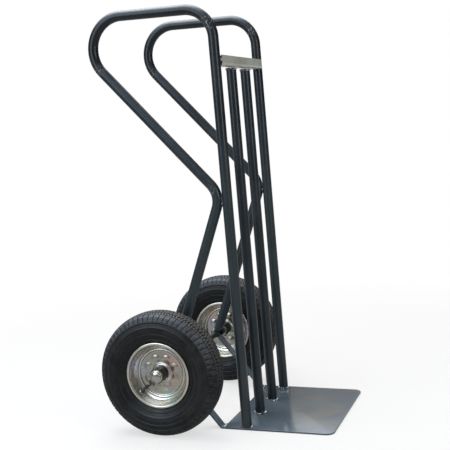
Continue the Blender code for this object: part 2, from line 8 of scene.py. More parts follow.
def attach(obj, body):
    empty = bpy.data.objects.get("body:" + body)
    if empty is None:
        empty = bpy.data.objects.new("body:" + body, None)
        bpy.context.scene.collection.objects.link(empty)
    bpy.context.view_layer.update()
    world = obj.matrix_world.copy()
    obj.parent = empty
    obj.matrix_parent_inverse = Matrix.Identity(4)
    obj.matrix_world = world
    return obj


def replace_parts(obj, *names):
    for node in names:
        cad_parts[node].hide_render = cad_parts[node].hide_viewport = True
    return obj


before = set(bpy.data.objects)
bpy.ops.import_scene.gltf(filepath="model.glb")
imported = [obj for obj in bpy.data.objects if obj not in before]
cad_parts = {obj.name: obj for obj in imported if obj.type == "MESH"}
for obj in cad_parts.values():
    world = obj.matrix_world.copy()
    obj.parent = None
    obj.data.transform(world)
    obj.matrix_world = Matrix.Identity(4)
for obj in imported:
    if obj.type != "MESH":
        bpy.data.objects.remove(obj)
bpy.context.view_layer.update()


# Bent frame tubes
# Four steel tubes of one size stand on the toe plate.  Each outer one goes on as a looped handle,
# a slanting stay and a rear leg down to the axle, all one tube; the two inner ones stop under the
# angle bar.  They are bent cold, welded together and coated in glossy dark slate paint.

TUBE_RADIUS = 0.0143
OUTER_TUBE_Y = 0.190
INNER_TUBE_Y = OUTER_TUBE_Y / 3
UPRIGHT_LEAN = math.radians(2.0)
TRUCK_HEIGHT, HANDLE_REACH = 1.17795, 0.412
FRONT_BEND, LOOP_BEND, LOWER_BEND = 0.082, 0.090, 0.065
LOWER_BEND_HEIGHT, INNER_TUBE_HEIGHT = 0.644, 1.0055
LEG_SLANT = 0.048
PLATE_TOP, FOOT_GAP, FIT_GAP = 0.005, 0.0008, 0.0003
AXLE_CENTRE = Vector((-0.214, 0.175))
UPRIGHT_ALONG = Vector((-math.sin(UPRIGHT_LEAN), math.cos(UPRIGHT_LEAN)))
UPRIGHT_BEHIND = Vector((-math.cos(UPRIGHT_LEAN), -math.sin(UPRIGHT_LEAN)))
TUBE_FOOT = Vector((0, PLATE_TOP + FOOT_GAP))
SIDES = (("right", -1), ("left", 1))
# Where pale marks on a side frame's bends are painted highlights of the crinkles there: x, z and how far
# round it.
BEND_GLINT_MARKS = ((-0.049, 1.123, 0.026), (-0.378, 1.018, 0.020), (-0.070, 0.672, 0.022))


def on_upright(height, behind=0.0):
    """A point (x, z) at a height on the uprights' centre line, moved back square to it."""
    moved = UPRIGHT_BEHIND * behind
    rise = (height - TUBE_FOOT.y - moved.y) / UPRIGHT_ALONG.y
    return TUBE_FOOT + UPRIGHT_ALONG * rise + moved


def bend(centre, radius, start, end, step=math.radians(3)):
    """Points of an arc from one angle to another, both ends in it."""
    count = max(2, math.ceil(abs(end - start) / step))
    turns = [start + (end - start) * index / count for index in range(count + 1)]
    return [centre + radius * Vector((math.cos(turn), math.sin(turn))) for turn in turns]


def side_frame_line():
    """Centre line of a side frame in its own plane, from the plate round the handle to the axle."""
    bar_height = TRUCK_HEIGHT - TUBE_RADIUS
    front_centre = on_upright(bar_height - FRONT_BEND, FRONT_BEND)
    loop_centre = Vector((TUBE_RADIUS + LOOP_BEND - HANDLE_REACH, bar_height - LOOP_BEND))
    lower_centre = on_upright(LOWER_BEND_HEIGHT, LOWER_BEND + 2 * TUBE_RADIUS + FIT_GAP)
    down, to_axle = lower_centre - loop_centre, AXLE_CENTRE - lower_centre
    stay = math.atan2(down.y, down.x) - math.acos((LOOP_BEND + LOWER_BEND) / down.length)
    leg = math.atan2(to_axle.y, to_axle.x) + math.acos(LOWER_BEND / to_axle.length)
    leg_top = lower_centre + LOWER_BEND * Vector((math.cos(leg), math.sin(leg)))
    return ([TUBE_FOOT] + bend(front_centre, FRONT_BEND, UPRIGHT_LEAN, math.pi / 2)
            + bend(loop_centre, LOOP_BEND, math.pi / 2, stay + 2 * math.pi)
            + bend(lower_centre, LOWER_BEND, stay + math.pi, leg)
            + [AXLE_CENTRE.lerp(leg_top, share) for share in (0.14, 0.12, 0.10, 0.08, 0.06, 0.04, 0.02, 0.0)])


def feed(tree, node, feeds):
    """Give each named input of a node a plain value, or the socket that drives it."""
    for name, value in feeds.items():
        if isinstance(value, bpy.types.NodeSocket):
            tree.links.new(value, node.inputs[name])
        else:
            node.inputs[name].default_value = value


def add_node(tree, kind, feeds=None, **settings):
    node = tree.nodes.new(kind)
    for name, value in settings.items():
        setattr(node, name, value)
    feed(tree, node, feeds or {})
    return node


def maths(tree, operation, first, second=0.0):
    return add_node(tree, "ShaderNodeMath", {0: first, 1: second}, operation=operation).outputs[0]


def spread(tree, value, low, high, to_low=0.0, to_high=1.0):
    """Map a value's range onto another, eased, and held at both ends."""
    feeds = {"Value": value, "From Min": low, "From Max": high, "To Min": to_low, "To Max": to_high}
    return add_node(tree, "ShaderNodeMapRange", feeds, interpolation_type="SMOOTHSTEP").outputs["Result"]


def mixed(tree, share, first, second):
    """A colour between two others, each a socket or plain red, green and blue."""
    plain = [end if isinstance(end, bpy.types.NodeSocket) else (*end, 1) for end in (first, second)]
    return add_node(tree, "ShaderNodeMix", {0: share, 6: plain[0], 7: plain[1]}, data_type="RGBA").outputs[2]


def noise(tree, place, scale, detail, roughness=0.5, seed=None):
    feeds = {"Vector": place, "Scale": scale, "Detail": detail, "Roughness": roughness}
    if seed is None:
        return add_node(tree, "ShaderNodeTexNoise", feeds).outputs[0]
    return add_node(tree, "ShaderNodeTexNoise", {**feeds, "W": seed}, noise_dimensions="4D").outputs[0]


def coordinates(tree, kind="Object"):
    return add_node(tree, "ShaderNodeTexCoord").outputs[kind]


def split(tree, vector):
    """The x, y and z of a vector."""
    return add_node(tree, "ShaderNodeSeparateXYZ", {0: vector}).outputs


def away_from(tree, x, z):
    """The way out from a line that runs across the truck through (x, z)."""
    return add_node(tree, "ShaderNodeMapping", {"Vector": coordinates(tree), "Location": (-x, 0, -z),
                                                "Scale": (1, 0, 1)}).outputs[0]


def length_of(tree, vector):
    return add_node(tree, "ShaderNodeVectorMath", {0: vector}, operation="LENGTH").outputs["Value"]


def new_tree(name, kind, inputs, outputs):
    tree = bpy.data.node_groups.new(name, kind)
    for direction, sockets in (("INPUT", inputs), ("OUTPUT", outputs)):
        for label, socket in sockets:
            tree.interface.new_socket(label, in_out=direction, socket_type="NodeSocket" + socket)
    return tree, tree.nodes.new("NodeGroupInput").outputs, tree.nodes.new("NodeGroupOutput")


def end_tree(tree, out, shape, finish):
    """Make what is repeated real, give it its material and send it out."""
    real = add_node(tree, "GeometryNodeRealizeInstances", {"Geometry": shape})
    coated = add_node(tree, "GeometryNodeSetMaterial", {"Geometry": real.outputs[0], "Material": finish})
    tree.links.new(coated.outputs[0], out.inputs[0])
    return tree


def tube_tree():
    """Sweep a round section along the line that comes in, and close both ends."""
    tree, given, out = new_tree("bent_tube", "GeometryNodeTree",
                                [("Line", "Geometry"), ("Tube Radius", "Float"), ("Sides", "Int"),
                                 ("Finish", "Material")], [("Tube", "Geometry")])
    line = add_node(tree, "GeometryNodeMeshToCurve", {"Mesh": given["Line"]})
    section = add_node(tree, "GeometryNodeCurvePrimitiveCircle",
                       {"Radius": given["Tube Radius"], "Resolution": given["Sides"]})
    swept = add_node(tree, "GeometryNodeCurveToMesh",
                     {"Curve": line.outputs[0], "Profile Curve": section.outputs[0], "Fill Caps": True})
    return end_tree(tree, out, swept.outputs[0], given["Finish"])


def line_mesh(name, lines):
    """A mesh of loose edges: one open line for each list of points."""
    mesh, points, edges = bpy.data.meshes.new(name), [], []
    for line in lines:
        edges += [(len(points) + step, len(points) + step + 1) for step in range(len(line) - 1)]
        points += [tuple(point) for point in line]
    mesh.from_pydata(points, edges, [])
    return mesh


def add_object(name, data):
    obj = bpy.data.objects.new(name, data)
    bpy.context.scene.collection.objects.link(obj)
    return obj


def plain_mesh(name, obj):
    """Replace an object that has modifiers with a finished one of the same shape."""
    obj.name = name + "_blank"
    bpy.context.view_layer.update()
    shape = obj.evaluated_get(bpy.context.evaluated_depsgraph_get())
    mesh = bpy.data.meshes.new_from_object(shape)
    bpy.data.objects.remove(obj, do_unlink=True)
    mesh.name = name
    return add_object(name, mesh)


def smooth(piece, sharp_from=35):
    """Shade smooth, with corners kept sharp, and turn every face outwards."""
    builder = bmesh.new()
    builder.from_mesh(piece.data)
    bmesh.ops.remove_doubles(builder, verts=builder.verts, dist=1e-6)
    bmesh.ops.recalc_face_normals(builder, faces=builder.faces)
    builder.to_mesh(piece.data)
    builder.free()
    piece.data.shade_smooth()
    piece.data.set_sharp_from_angle(angle=math.radians(sharp_from))
    return piece


def grow(name, mesh, tree, values):
    """Run a geometry tree on a mesh, its inputs set by identifier, and keep the plain result."""
    blank = add_object(name + "_blank", mesh)
    modifier = blank.modifiers.new("grow", "NODES")
    modifier.node_group = tree
    for item in tree.interface.items_tree:
        if item.in_out == "INPUT" and item.name in values:
            modifier[item.identifier] = values[item.name]
    return smooth(plain_mesh(name, blank))


def surface_marks():
    """Shared effect: soft patches, fine grain and dust that lies on what faces up."""
    tree, given, out = new_tree("surface_marks", "ShaderNodeTree",
                                [("Patch Scale", "Float"), ("Grain Scale", "Float"), ("Seed", "Float")],
                                [("Patches", "Float"), ("Grain", "Float"), ("Dust", "Float")])
    place = coordinates(tree)
    patches = noise(tree, place, given["Patch Scale"], 5.0, 0.6, given["Seed"])
    grain = noise(tree, place, given["Grain Scale"], 2.0, 0.5, given["Seed"])
    specks = noise(tree, place, 160.0, 3.0)
    up = split(tree, coordinates(tree, "Normal"))[2]
    settled = maths(tree, "MULTIPLY", spread(tree, up, 0.1, 1.0), spread(tree, specks, 0.45, 0.75))
    feed(tree, out, {"Patches": spread(tree, patches, 0.30, 0.70), "Grain": grain, "Dust": settled})
    return tree


def edge_wear():
    """Shared effect: paint rubbed through in small chips along outward edges."""
    tree, given, out = new_tree("edge_wear", "ShaderNodeTree", [("Chip Scale", "Float"), ("Start", "Float")],
                                [("Bare", "Float")])
    sharp = add_node(tree, "ShaderNodeNewGeometry").outputs["Pointiness"]
    chips = noise(tree, coordinates(tree), given["Chip Scale"], 6.0, 0.7)
    ridge = add_node(tree, "ShaderNodeMapRange", {"Value": sharp, "From Min": given["Start"],
                                                  "From Max": maths(tree, "ADD", given["Start"], 0.06)})
    feed(tree, out, {"Bare": maths(tree, "MULTIPLY", ridge.outputs[0], spread(tree, chips, 0.50, 0.62))})
    return tree


MARKS, WEAR = surface_marks(), edge_wear()


def new_finish(name):
    material = bpy.data.materials.new(name)
    material.use_nodes = True
    return material, material.node_tree, material.node_tree.nodes["Principled BSDF"]


def marks(tree, patch_scale, grain_scale, seed):
    return add_node(tree, "ShaderNodeGroup", {"Patch Scale": patch_scale, "Grain Scale": grain_scale,
                                              "Seed": seed}, node_tree=MARKS).outputs


def wear(tree, chip_scale, start):
    return add_node(tree, "ShaderNodeGroup", {"Chip Scale": chip_scale, "Start": start},
                    node_tree=WEAR).outputs[0]


def relief(tree, height, depth, strength):
    """The normal of a surface with fine grain this deep."""
    feeds = {"Height": height, "Distance": depth, "Strength": strength}
    return add_node(tree, "ShaderNodeBump", feeds).outputs[0]


def slate_paint(name, seed, faded):
    """Blue-black slate gloss, a little cloudy, duller low down; fine pale marks at the bends are painted
    highlights.
    """
    material, tree, shader = new_finish(name)
    seen, place = marks(tree, 9.0, 90.0, seed), coordinates(tree)
    height = split(tree, place)[2]
    coat = mixed(tree, seen["Patches"], (0.0038, 0.0084, 0.0132), (0.0064, 0.0128, 0.0194))
    coat = mixed(tree, spread(tree, height, 0.60, 0.90, faded, 0.0), coat, (0.026, 0.038, 0.040))
    coat = mixed(tree, spread(tree, height, 0.95, 1.10, 0.0, 0.6), coat, (0.0020, 0.0036, 0.0056))
    coat = mixed(tree, maths(tree, "MULTIPLY", seen["Dust"], 0.006), coat, (0.14, 0.14, 0.13))
    creased = add_node(tree, "ShaderNodeMapping",
                       {"Vector": place, "Rotation": (0, 0.9, 0), "Scale": (1.0, 1.0, 0.35)}).outputs[0]
    crinkle_glints = spread(tree, noise(tree, creased, 420.0, 2.0), 0.60, 0.66)
    wear_and_glints = wear(tree, 230.0, 0.60)
    # Fine pale marks at the bends are painted highlights of the crinkles there, added to the rubbed edges.
    for x, z, size in BEND_GLINT_MARKS:
        near = spread(tree, length_of(tree, away_from(tree, x, z)), size * 0.4, size, 0.8, 0.0)
        wear_and_glints = maths(tree, "MAXIMUM", wear_and_glints, maths(tree, "MULTIPLY", near, crinkle_glints))
    feed(tree, shader, {"Base Color": mixed(tree, wear_and_glints, coat, (0.36, 0.38, 0.40)),
                        "Roughness": spread(tree, seen["Patches"], 0.0, 1.0, 0.28, 0.38),
                        "Coat Weight": spread(tree, seen["Patches"], 0.0, 1.0, 0.10, 0.24),
                        "Coat Roughness": 0.20, "Specular IOR Level": 0.32,
                        "Normal": relief(tree, seen["Grain"], 0.00006, 0.20)})
    return material


def slant_leg_end(mesh):
    """Narrow the last stretch of a rear leg from its front side, down to half its width."""
    along = (side_frame_line()[-2] - AXLE_CENTRE).normalized()
    front = Vector((along.y, -along.x))
    for vertex in mesh.vertices:
        from_axle = Vector((vertex.co.x, vertex.co.z)) - AXLE_CENTRE
        rise, ahead = from_axle.dot(along), from_axle.dot(front)
        if rise < LEG_SLANT and abs(ahead) < TUBE_RADIUS * 1.1:
            share = 1 - rise / LEG_SLANT
            shift = front * (-0.55 * share * share * (ahead + TUBE_RADIUS))
            vertex.co.x += shift.x
            vertex.co.z += shift.y


bent_paint = slate_paint("slate_paint_bent", 1.0, 0.45)
inner_paint = slate_paint("slate_paint_inner", 2.0, 0.15)
TUBE_TREE = tube_tree()
inner_top = on_upright(INNER_TUBE_HEIGHT)
for side, sign in SIDES:
    for node, line, across, paint in (("side_tube_", side_frame_line(), OUTER_TUBE_Y, bent_paint),
                                      ("inner_upright_", [TUBE_FOOT, inner_top], INNER_TUBE_Y, inner_paint)):
        path = line_mesh(node + "line", [[(x, sign * across, z) for x, z in line]])
        tube = grow(node.replace("side", "bent") + side + "_painted", path, TUBE_TREE,
                    {"Tube Radius": TUBE_RADIUS, "Sides": 48, "Finish": paint})
        if node == "side_tube_":
            slant_leg_end(tube.data)
        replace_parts(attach(tube, "frame"), node + side)


# Angle bar
# A folded steel angle across the fronts of the uprights: a flat face, a rolled lower edge, and a
# flange that closes the tops of the inner tubes.  Its ends are notched round the outer tubes.  It
# has a half-glossy pale coat, a little paler towards its left end.

BAR_HEIGHT, BAR_SHEET, BAR_BEND, BAR_END, BAR_TOP = 0.0275, 0.003, 0.008, 0.181, 1.037
BAR_BASE = TUBE_FOOT + UPRIGHT_ALONG * ((BAR_TOP - TUBE_FOOT.y) / UPRIGHT_ALONG.y - BAR_HEIGHT)
BAR_BACK = TUBE_RADIUS + FIT_GAP
NOTCH_START, NOTCH_PAST = OUTER_TUBE_Y - BAR_BACK, 0.01
NOTCH_OUTLINE = [(BAR_BACK, -0.01), (BAR_BACK, 0.05), (-0.03, 0.05), (-0.03, -0.01)]


def cut_sheet(name, outline, low, high, to_place, edge, finish, holes=()):
    """Push a flat outline from low to high, cut its holes, ease its edges and put it in place."""
    mesh = bpy.data.meshes.new(name)
    builder = bmesh.new()
    face = builder.faces.new([builder.verts.new((x, y, low)) for x, y in outline])
    pushed = bmesh.ops.extrude_face_region(builder, geom=[face])
    moved = [item for item in pushed["geom"] if isinstance(item, bmesh.types.BMVert)]
    bmesh.ops.translate(builder, verts=moved, vec=(0, 0, high - low))
    bmesh.ops.recalc_face_normals(builder, faces=builder.faces)
    builder.to_mesh(mesh)
    builder.free()
    sheet = add_object(name, mesh)
    for hole in holes:
        cut = sheet.modifiers.new("cut", "BOOLEAN")
        cut.operation, cut.object = "DIFFERENCE", hole
    if edge:
        eased_edge = sheet.modifiers.new("eased", "BEVEL")
        eased_edge.width, eased_edge.segments = edge, 3
        eased_edge.angle_limit = math.radians(40)
    sheet = plain_mesh(name, sheet)
    sheet.data.transform(to_place)
    for hole in holes:
        bpy.data.objects.remove(hole, do_unlink=True)
    sheet.data.materials.append(finish)
    return smooth(sheet)


def bar_finish():
    """Smooth pale beige coat, barely cloudy, rubbed brighter along its edges."""
    material, tree, shader = new_finish("pale_bar_coat")
    seen = marks(tree, 14.0, 220.0, 4.0)
    coat = mixed(tree, seen["Patches"], (0.315, 0.324, 0.272), (0.400, 0.408, 0.358))
    across = split(tree, coordinates(tree))[1]
    coat = mixed(tree, spread(tree, across, -0.02, 0.14, 0.0, 0.5), coat, (0.62, 0.63, 0.60))
    feed(tree, shader, {"Base Color": mixed(tree, wear(tree, 180.0, 0.56), coat, (0.42, 0.42, 0.40)),
                        "Roughness": spread(tree, seen["Patches"], 0.0, 1.0, 0.16, 0.26), "Metallic": 0.15,
                        "Normal": relief(tree, seen["Grain"], 0.00006, 0.20)})
    return material


def bar_outline():
    """Section of the bar, seen from its side: the face's back, the rolled edge, the flange, the face."""
    front = BAR_BACK + BAR_SHEET
    centre = Vector((front - BAR_BEND, BAR_BEND))
    return ([Vector((BAR_BACK, BAR_HEIGHT))]
            + bend(centre, BAR_BEND - BAR_SHEET, 0, -math.pi / 2, math.radians(9))
            + [Vector((-TUBE_RADIUS, BAR_SHEET)), Vector((-TUBE_RADIUS, 0))]
            + bend(centre, BAR_BEND, -math.pi / 2, 0, math.radians(9))
            + [Vector((front, BAR_HEIGHT))])


bar_coat, notches = bar_finish(), []
for sign in (-1, 1):
    low, high = sorted((sign * NOTCH_START, sign * (OUTER_TUBE_Y + NOTCH_PAST)))
    notches.append(cut_sheet("notch", NOTCH_OUTLINE, low, high, Matrix(), 0, bar_coat))
bar_place = (Matrix.Translation((BAR_BASE.x, 0, BAR_BASE.y))
             @ Euler((math.pi / 2, -UPRIGHT_LEAN, 0)).to_matrix().to_4x4())
bar = cut_sheet("angle_bar", bar_outline(), -BAR_END, BAR_END, bar_place, 0.0007, bar_coat, notches)
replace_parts(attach(bar, "frame"), "top_crossbar")


# Toe plate and straps
# One sheet of steel with two rounded front corners carries the load and the feet of the tubes.
# Two flat straps run from its rear corners up to the axle.  All are painted a lighter grey-blue.

PLATE_REAR, PLATE_FRONT, PLATE_CORNER = -0.064, 0.249, 0.024
PLATE_SIDE = OUTER_TUBE_Y + TUBE_RADIUS
STRAP_WIDTH, STRAP_BEND, STRAP_FLAT, PLATE_EDGE = 0.030, 0.008, 0.004, 0.0009
AXLE_BORE = 0.0083


def plate_finish(name, seed, sheen, edge_and_shade_share):
    """Smooth grey-blue gloss, paler to the front as a painted reflection, with faint wiping marks;
    its cut edges stay darker, and the straps' sloping faces too, as painted shade.
    """
    material, tree, shader = new_finish(name)
    seen, place = marks(tree, 5.0, 70.0, seed), coordinates(tree)
    # Darker behind a slanted line across the plate and paler in front of it: a painted reflection.
    rear = mixed(tree, seen["Patches"], (0.084, 0.114, 0.142), (0.116, 0.146, 0.174))
    front = mixed(tree, seen["Patches"], (0.172, 0.198, 0.218), (0.206, 0.226, 0.240))
    stain = spread(tree, noise(tree, place, 8.0, 2.0), 0.48, 0.66, 0.0, 0.60)
    front = mixed(tree, stain, front, (0.255, 0.248, 0.220))
    where = split(tree, place)
    forward = maths(tree, "ADD", where[0], maths(tree, "MULTIPLY", where[1], 0.29))
    coat = mixed(tree, spread(tree, forward, 0.068, 0.082), rear, front)
    along = add_node(tree, "ShaderNodeMapping",
                     {"Vector": place, "Rotation": (0, 0, 0.3), "Scale": (4.0, 60.0, 4.0)}).outputs[0]
    wiped = spread(tree, noise(tree, along, 1.0, 3.0), 0.56, 0.72)
    coat = mixed(tree, maths(tree, "MULTIPLY", wiped, 0.10), coat, (0.20, 0.20, 0.19))
    coat = mixed(tree, maths(tree, "MULTIPLY", seen["Dust"], 0.05), coat, (0.26, 0.25, 0.22))
    rubbed = mixed(tree, wear(tree, 150.0, 0.55), coat, (0.30, 0.30, 0.29))
    # Faces that stand upright are darkened: the plate's cut edges, and on the straps' sloping faces this is
    # painted shade.
    facing = maths(tree, "ABSOLUTE", split(tree, coordinates(tree, "Normal"))[2])
    flat = spread(tree, facing, 0.25, 0.85, edge_and_shade_share, 1.0)
    rough = maths(tree, "ADD", spread(tree, seen["Patches"], 0.0, 1.0, sheen, sheen + 0.08),
                  maths(tree, "MULTIPLY", wiped, 0.04))
    feed(tree, shader, {"Base Color": mixed(tree, flat, (0.014, 0.020, 0.028), rubbed), "Roughness": rough,
                        "Specular IOR Level": 0.50, "Normal": relief(tree, seen["Grain"], 0.00005, 0.15)})
    return material


def plate_outline():
    front, edge = PLATE_FRONT - PLATE_CORNER, PLATE_SIDE - PLATE_CORNER
    return ([Vector((PLATE_REAR, -PLATE_SIDE))]
            + bend(Vector((front, -edge)), PLATE_CORNER, -math.pi / 2, 0, math.radians(5))
            + bend(Vector((front, edge)), PLATE_CORNER, 0, math.pi / 2, math.radians(5))
            + [Vector((PLATE_REAR, PLATE_SIDE))])


def strap_outline():
    """Side view of a strap: flat behind the plate, one bend, then straight up to the axle."""
    middle, start = PLATE_TOP / 2, PLATE_REAR - FIT_GAP
    centre = Vector((start - STRAP_FLAT, middle + STRAP_BEND))
    to_axle = AXLE_CENTRE - centre
    lift = math.atan2(to_axle.y, to_axle.x) + math.acos(STRAP_BEND / to_axle.length)
    lift -= 2 * math.pi if lift > 0 else 0
    along, across = Vector((math.sin(lift), -math.cos(lift))), Vector((math.cos(lift), math.sin(lift)))
    top = AXLE_CENTRE - along * AXLE_BORE
    return ([Vector((start, 0))] + bend(centre, STRAP_BEND + middle, -math.pi / 2, lift, math.radians(6))
            + [top + across * middle, top - across * middle]
            + bend(centre, STRAP_BEND - middle, lift, -math.pi / 2, math.radians(6))
            + [Vector((start, PLATE_TOP))])


plate = cut_sheet("toe_plate_painted", plate_outline(), 0, PLATE_TOP, Matrix(), PLATE_EDGE,
                  plate_finish("plate_paint_sheet", 6.0, 0.11, 0.25))
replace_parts(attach(plate, "frame"), "toe_plate")
strap_paint = plate_finish("plate_paint_straps", 8.0, 0.20, 0.30)
upright_plane = Euler((math.pi / 2, 0, 0)).to_matrix().to_4x4()
for side, sign in SIDES:
    low, high = sorted((-sign * PLATE_SIDE, -sign * (PLATE_SIDE - STRAP_WIDTH)))
    strap = cut_sheet("strap_" + side + "_painted", strap_outline(), low, high, upright_plane, PLATE_EDGE,
                      strap_paint)
    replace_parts(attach(strap, "frame"), "axle_strap_" + side)


# Weld beads
# Runs of overlapping ripples of weld metal join the tubes to the plate, to the angle bar and to
# the axle, and each lower bend to its upright.  They were painted over with the frame, thinly.

WELD_OUT, SECOND_FOOT_RUN, SECOND_TOP_RUN, TOP_WELD_OUT = 0.0006, 0.0026, 0.0030, 0.0002
FOOT_REACH = 118
BAR_WELD_HEIGHTS, BAR_WELDS_FORWARD = (1.011, 1.035), (0.0128, 0.0150)
BEND_WELD_HEIGHTS, BEND_WELD_ASIDE = (0.629, 0.660), 0.0042
LEG_WELD_RADIUS, LEG_WELD_INWARD = 0.0088, 0.0136
STRAP_WELD_BACK, STRAP_WELD_INSET = 0.0004, 0.001
DROP_SIZE, DROP_STEP = 0.0018, 0.0013


def weld_tree():
    """Lay overlapping flattened drops along the line that comes in."""
    tree, given, out = new_tree("weld_bead", "GeometryNodeTree",
                                [("Line", "Geometry"), ("Drop Size", "Float"), ("Step", "Float"),
                                 ("Seed", "Int"), ("Finish", "Material")], [("Bead", "Geometry")])
    line = add_node(tree, "GeometryNodeMeshToCurve", {"Mesh": given["Line"]})
    drops = add_node(tree, "GeometryNodeResampleCurve", {"Curve": line.outputs[0], "Length": given["Step"]},
                     mode="LENGTH")
    tangent = add_node(tree, "GeometryNodeInputTangent")
    facing = add_node(tree, "FunctionNodeAlignRotationToVector", {"Vector": tangent.outputs[0]}, axis="X")
    size = add_node(tree, "FunctionNodeRandomValue", {2: 0.82, 3: 1.18, "Seed": given["Seed"]},
                    data_type="FLOAT")
    drop = add_node(tree, "GeometryNodeMeshIcoSphere", {"Radius": given["Drop Size"], "Subdivisions": 2})
    flat = add_node(tree, "GeometryNodeTransform", {"Geometry": drop.outputs[0], "Scale": (0.55, 1.0, 1.0)})
    laid = add_node(tree, "GeometryNodeInstanceOnPoints",
                    {"Points": drops.outputs[0], "Instance": flat.outputs[0], "Rotation": facing.outputs[0],
                     "Scale": size.outputs[1]})
    return end_tree(tree, out, laid.outputs[0], given["Finish"])


def weld_finish():
    """Weld metal under thin slate paint, barer at the plate and at the bar."""
    material, tree, shader = new_finish("painted_weld")
    seen, height = marks(tree, 150.0, 700.0, 11.0), split(tree, coordinates(tree))[2]
    ends = maths(tree, "ADD", spread(tree, height, 0.012, 0.020, 0.24, 0.0),
                 spread(tree, height, 0.98, 1.00, 0.0, 0.24))
    bright = spread(tree, maths(tree, "ADD", seen["Patches"], ends), 0.62, 0.92)
    feed(tree, shader, {"Base Color": mixed(tree, bright, (0.016, 0.022, 0.030), (0.55, 0.56, 0.57)),
                        "Metallic": bright, "Roughness": spread(tree, seen["Grain"], 0.3, 0.7, 0.18, 0.42),
                        "Normal": relief(tree, seen["Grain"], 0.0003, 0.5)})
    return material


def ring_line(centre, radius, first, last):
    """Points of a level ring, or of a part of one, between two angles in degrees."""
    turns = [math.radians(first + (last - first) * step / 40) for step in range(41)]
    return [centre + Vector((radius * math.cos(turn), radius * math.sin(turn), 0)) for turn in turns]


def weld_lines(sign):
    """Every bead's line on one side of the truck, from the feet up, then at the axle and the strap."""
    outer, inner = sign * OUTER_TUBE_Y, sign * INNER_TUBE_Y
    foot, inward = TUBE_FOOT.y + WELD_OUT, -sign * 90
    lines = [ring_line(Vector((0, outer, foot)), TUBE_RADIUS + WELD_OUT, inward - FOOT_REACH,
                       inward + FOOT_REACH)]
    for wider in (WELD_OUT, SECOND_FOOT_RUN):
        lines.append(ring_line(Vector((0, inner, foot)), TUBE_RADIUS + wider, 0, 360))
    for forward in BAR_WELDS_FORWARD:
        ends = [on_upright(height, -forward) for height in BAR_WELD_HEIGHTS]
        lines.append([(x, sign * (BAR_END + WELD_OUT), z) for x, z in ends])
    for drop in (WELD_OUT, SECOND_TOP_RUN):
        top = Vector((inner_top.x, inner, inner_top.y - drop))
        lines.append(ring_line(top, TUBE_RADIUS + TOP_WELD_OUT, 0, 360))
    ends = [on_upright(height, TUBE_RADIUS + FIT_GAP) for height in BEND_WELD_HEIGHTS]
    lines += [[(x, outer + aside, z) for x, z in ends] for aside in (-BEND_WELD_ASIDE, BEND_WELD_ASIDE)]
    root = Vector((AXLE_CENTRE.x, outer - sign * LEG_WELD_INWARD, AXLE_CENTRE.y))
    turns = [math.radians(-200 + 10 * step) for step in range(23)]
    lines.append([root + LEG_WELD_RADIUS * Vector((math.cos(turn), 0, math.sin(turn))) for turn in turns])
    lines.append([(PLATE_REAR + STRAP_WELD_BACK, sign * (PLATE_SIDE - inset), PLATE_TOP)
                  for inset in (STRAP_WIDTH, STRAP_WELD_INSET)])
    return lines


WELD_TREE, weld_metal = weld_tree(), weld_finish()
for side, sign in SIDES:
    bead = grow("weld_beads_" + side, line_mesh("weld_line", weld_lines(sign)), WELD_TREE,
                {"Drop Size": DROP_SIZE, "Step": DROP_STEP, "Seed": 3 + sign, "Finish": weld_metal})
    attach(bead, "frame")


# Axle, sleeves and washers
# A plain steel bar runs through both legs.  A sleeve keeps each wheel off its leg, and a washer
# lies on each side of every hub.  The bar and sleeves are black, the washers zinc plated.

WHEEL_PLANE, HUB_END = 0.268, 0.040
AXLE_RADIUS, AXLE_PAST, SLEEVE_RADIUS, WASHER_RADIUS, WASHER_SHEET = 0.008, 0.0040, 0.0135, 0.0175, 0.0025
ON_AXIS = 1e-7


def lathe(name, profile, steps, to_place, finish, sharp_from=30):
    """Turn a closed outline of (radius, height), run down its outer side, about local Z."""
    rings, points, faces = [], [], []
    for radius, height in profile:
        count = 1 if radius < ON_AXIS else steps
        rings.append([len(points) + step for step in range(count)])
        turns = [2 * math.pi * step / steps for step in range(count)]
        points += [(radius * math.cos(turn), radius * math.sin(turn), height) for turn in turns]
    for upper, lower in zip(rings, rings[1:] + rings[:1]):
        for step in range(steps):
            corners = [upper[step % len(upper)], lower[step % len(lower)],
                       lower[(step + 1) % len(lower)], upper[(step + 1) % len(upper)]]
            kept = list(dict.fromkeys(corners))
            if len(kept) > 2:
                faces.append(kept)
    mesh = bpy.data.meshes.new(name)
    mesh.from_pydata(points, [], faces)
    mesh.transform(to_place)
    mesh.materials.append(finish)
    return smooth(add_object(name, mesh), sharp_from)


def eased(profile, radius):
    """Round the corners of a closed outline, but not those on the turning axis."""
    done, parts = [], 3
    for index, corner in enumerate(profile):
        here = Vector(corner)
        before, after = Vector(profile[index - 1]), Vector(profile[(index + 1) % len(profile)])
        reach = min(radius, (before - here).length * 0.45, (after - here).length * 0.45)
        if here.x < ON_AXIS or reach < 1e-6:
            done.append(here)
            continue
        start, end = here + (before - here).normalized() * reach, here + (after - here).normalized() * reach
        for part in range(parts + 1):
            share = part / parts
            done.append(start.lerp(here, share).lerp(here.lerp(end, share), share))
    return done


def steel_finish(name, dark, pale, rough, seed, metallic):
    """Steel, plated or blackened: cloudy, finely grained and rubbed bright along its edges."""
    material, tree, shader = new_finish(name)
    seen = marks(tree, 60.0, 500.0, seed)
    coat = mixed(tree, seen["Patches"], dark, pale)
    feed(tree, shader, {"Base Color": mixed(tree, wear(tree, 260.0, 0.55), coat, (0.50, 0.49, 0.47)),
                        "Roughness": spread(tree, seen["Grain"], 0.3, 0.7, rough, rough + 0.18),
                        "Metallic": metallic, "Normal": relief(tree, seen["Grain"], 0.0002, 0.4)})
    return material


def ring(inner, outer, low, high):
    return [(outer, high), (outer, low), (inner, low), (inner, high)]


def wheel_place(sign):
    """Local Z points away from the frame along the axle, from the wheel's middle plane."""
    turn = Matrix.Rotation(-sign * math.pi / 2, 4, "X")
    return Matrix.Translation((AXLE_CENTRE.x, sign * WHEEL_PLANE, AXLE_CENTRE.y)) @ turn


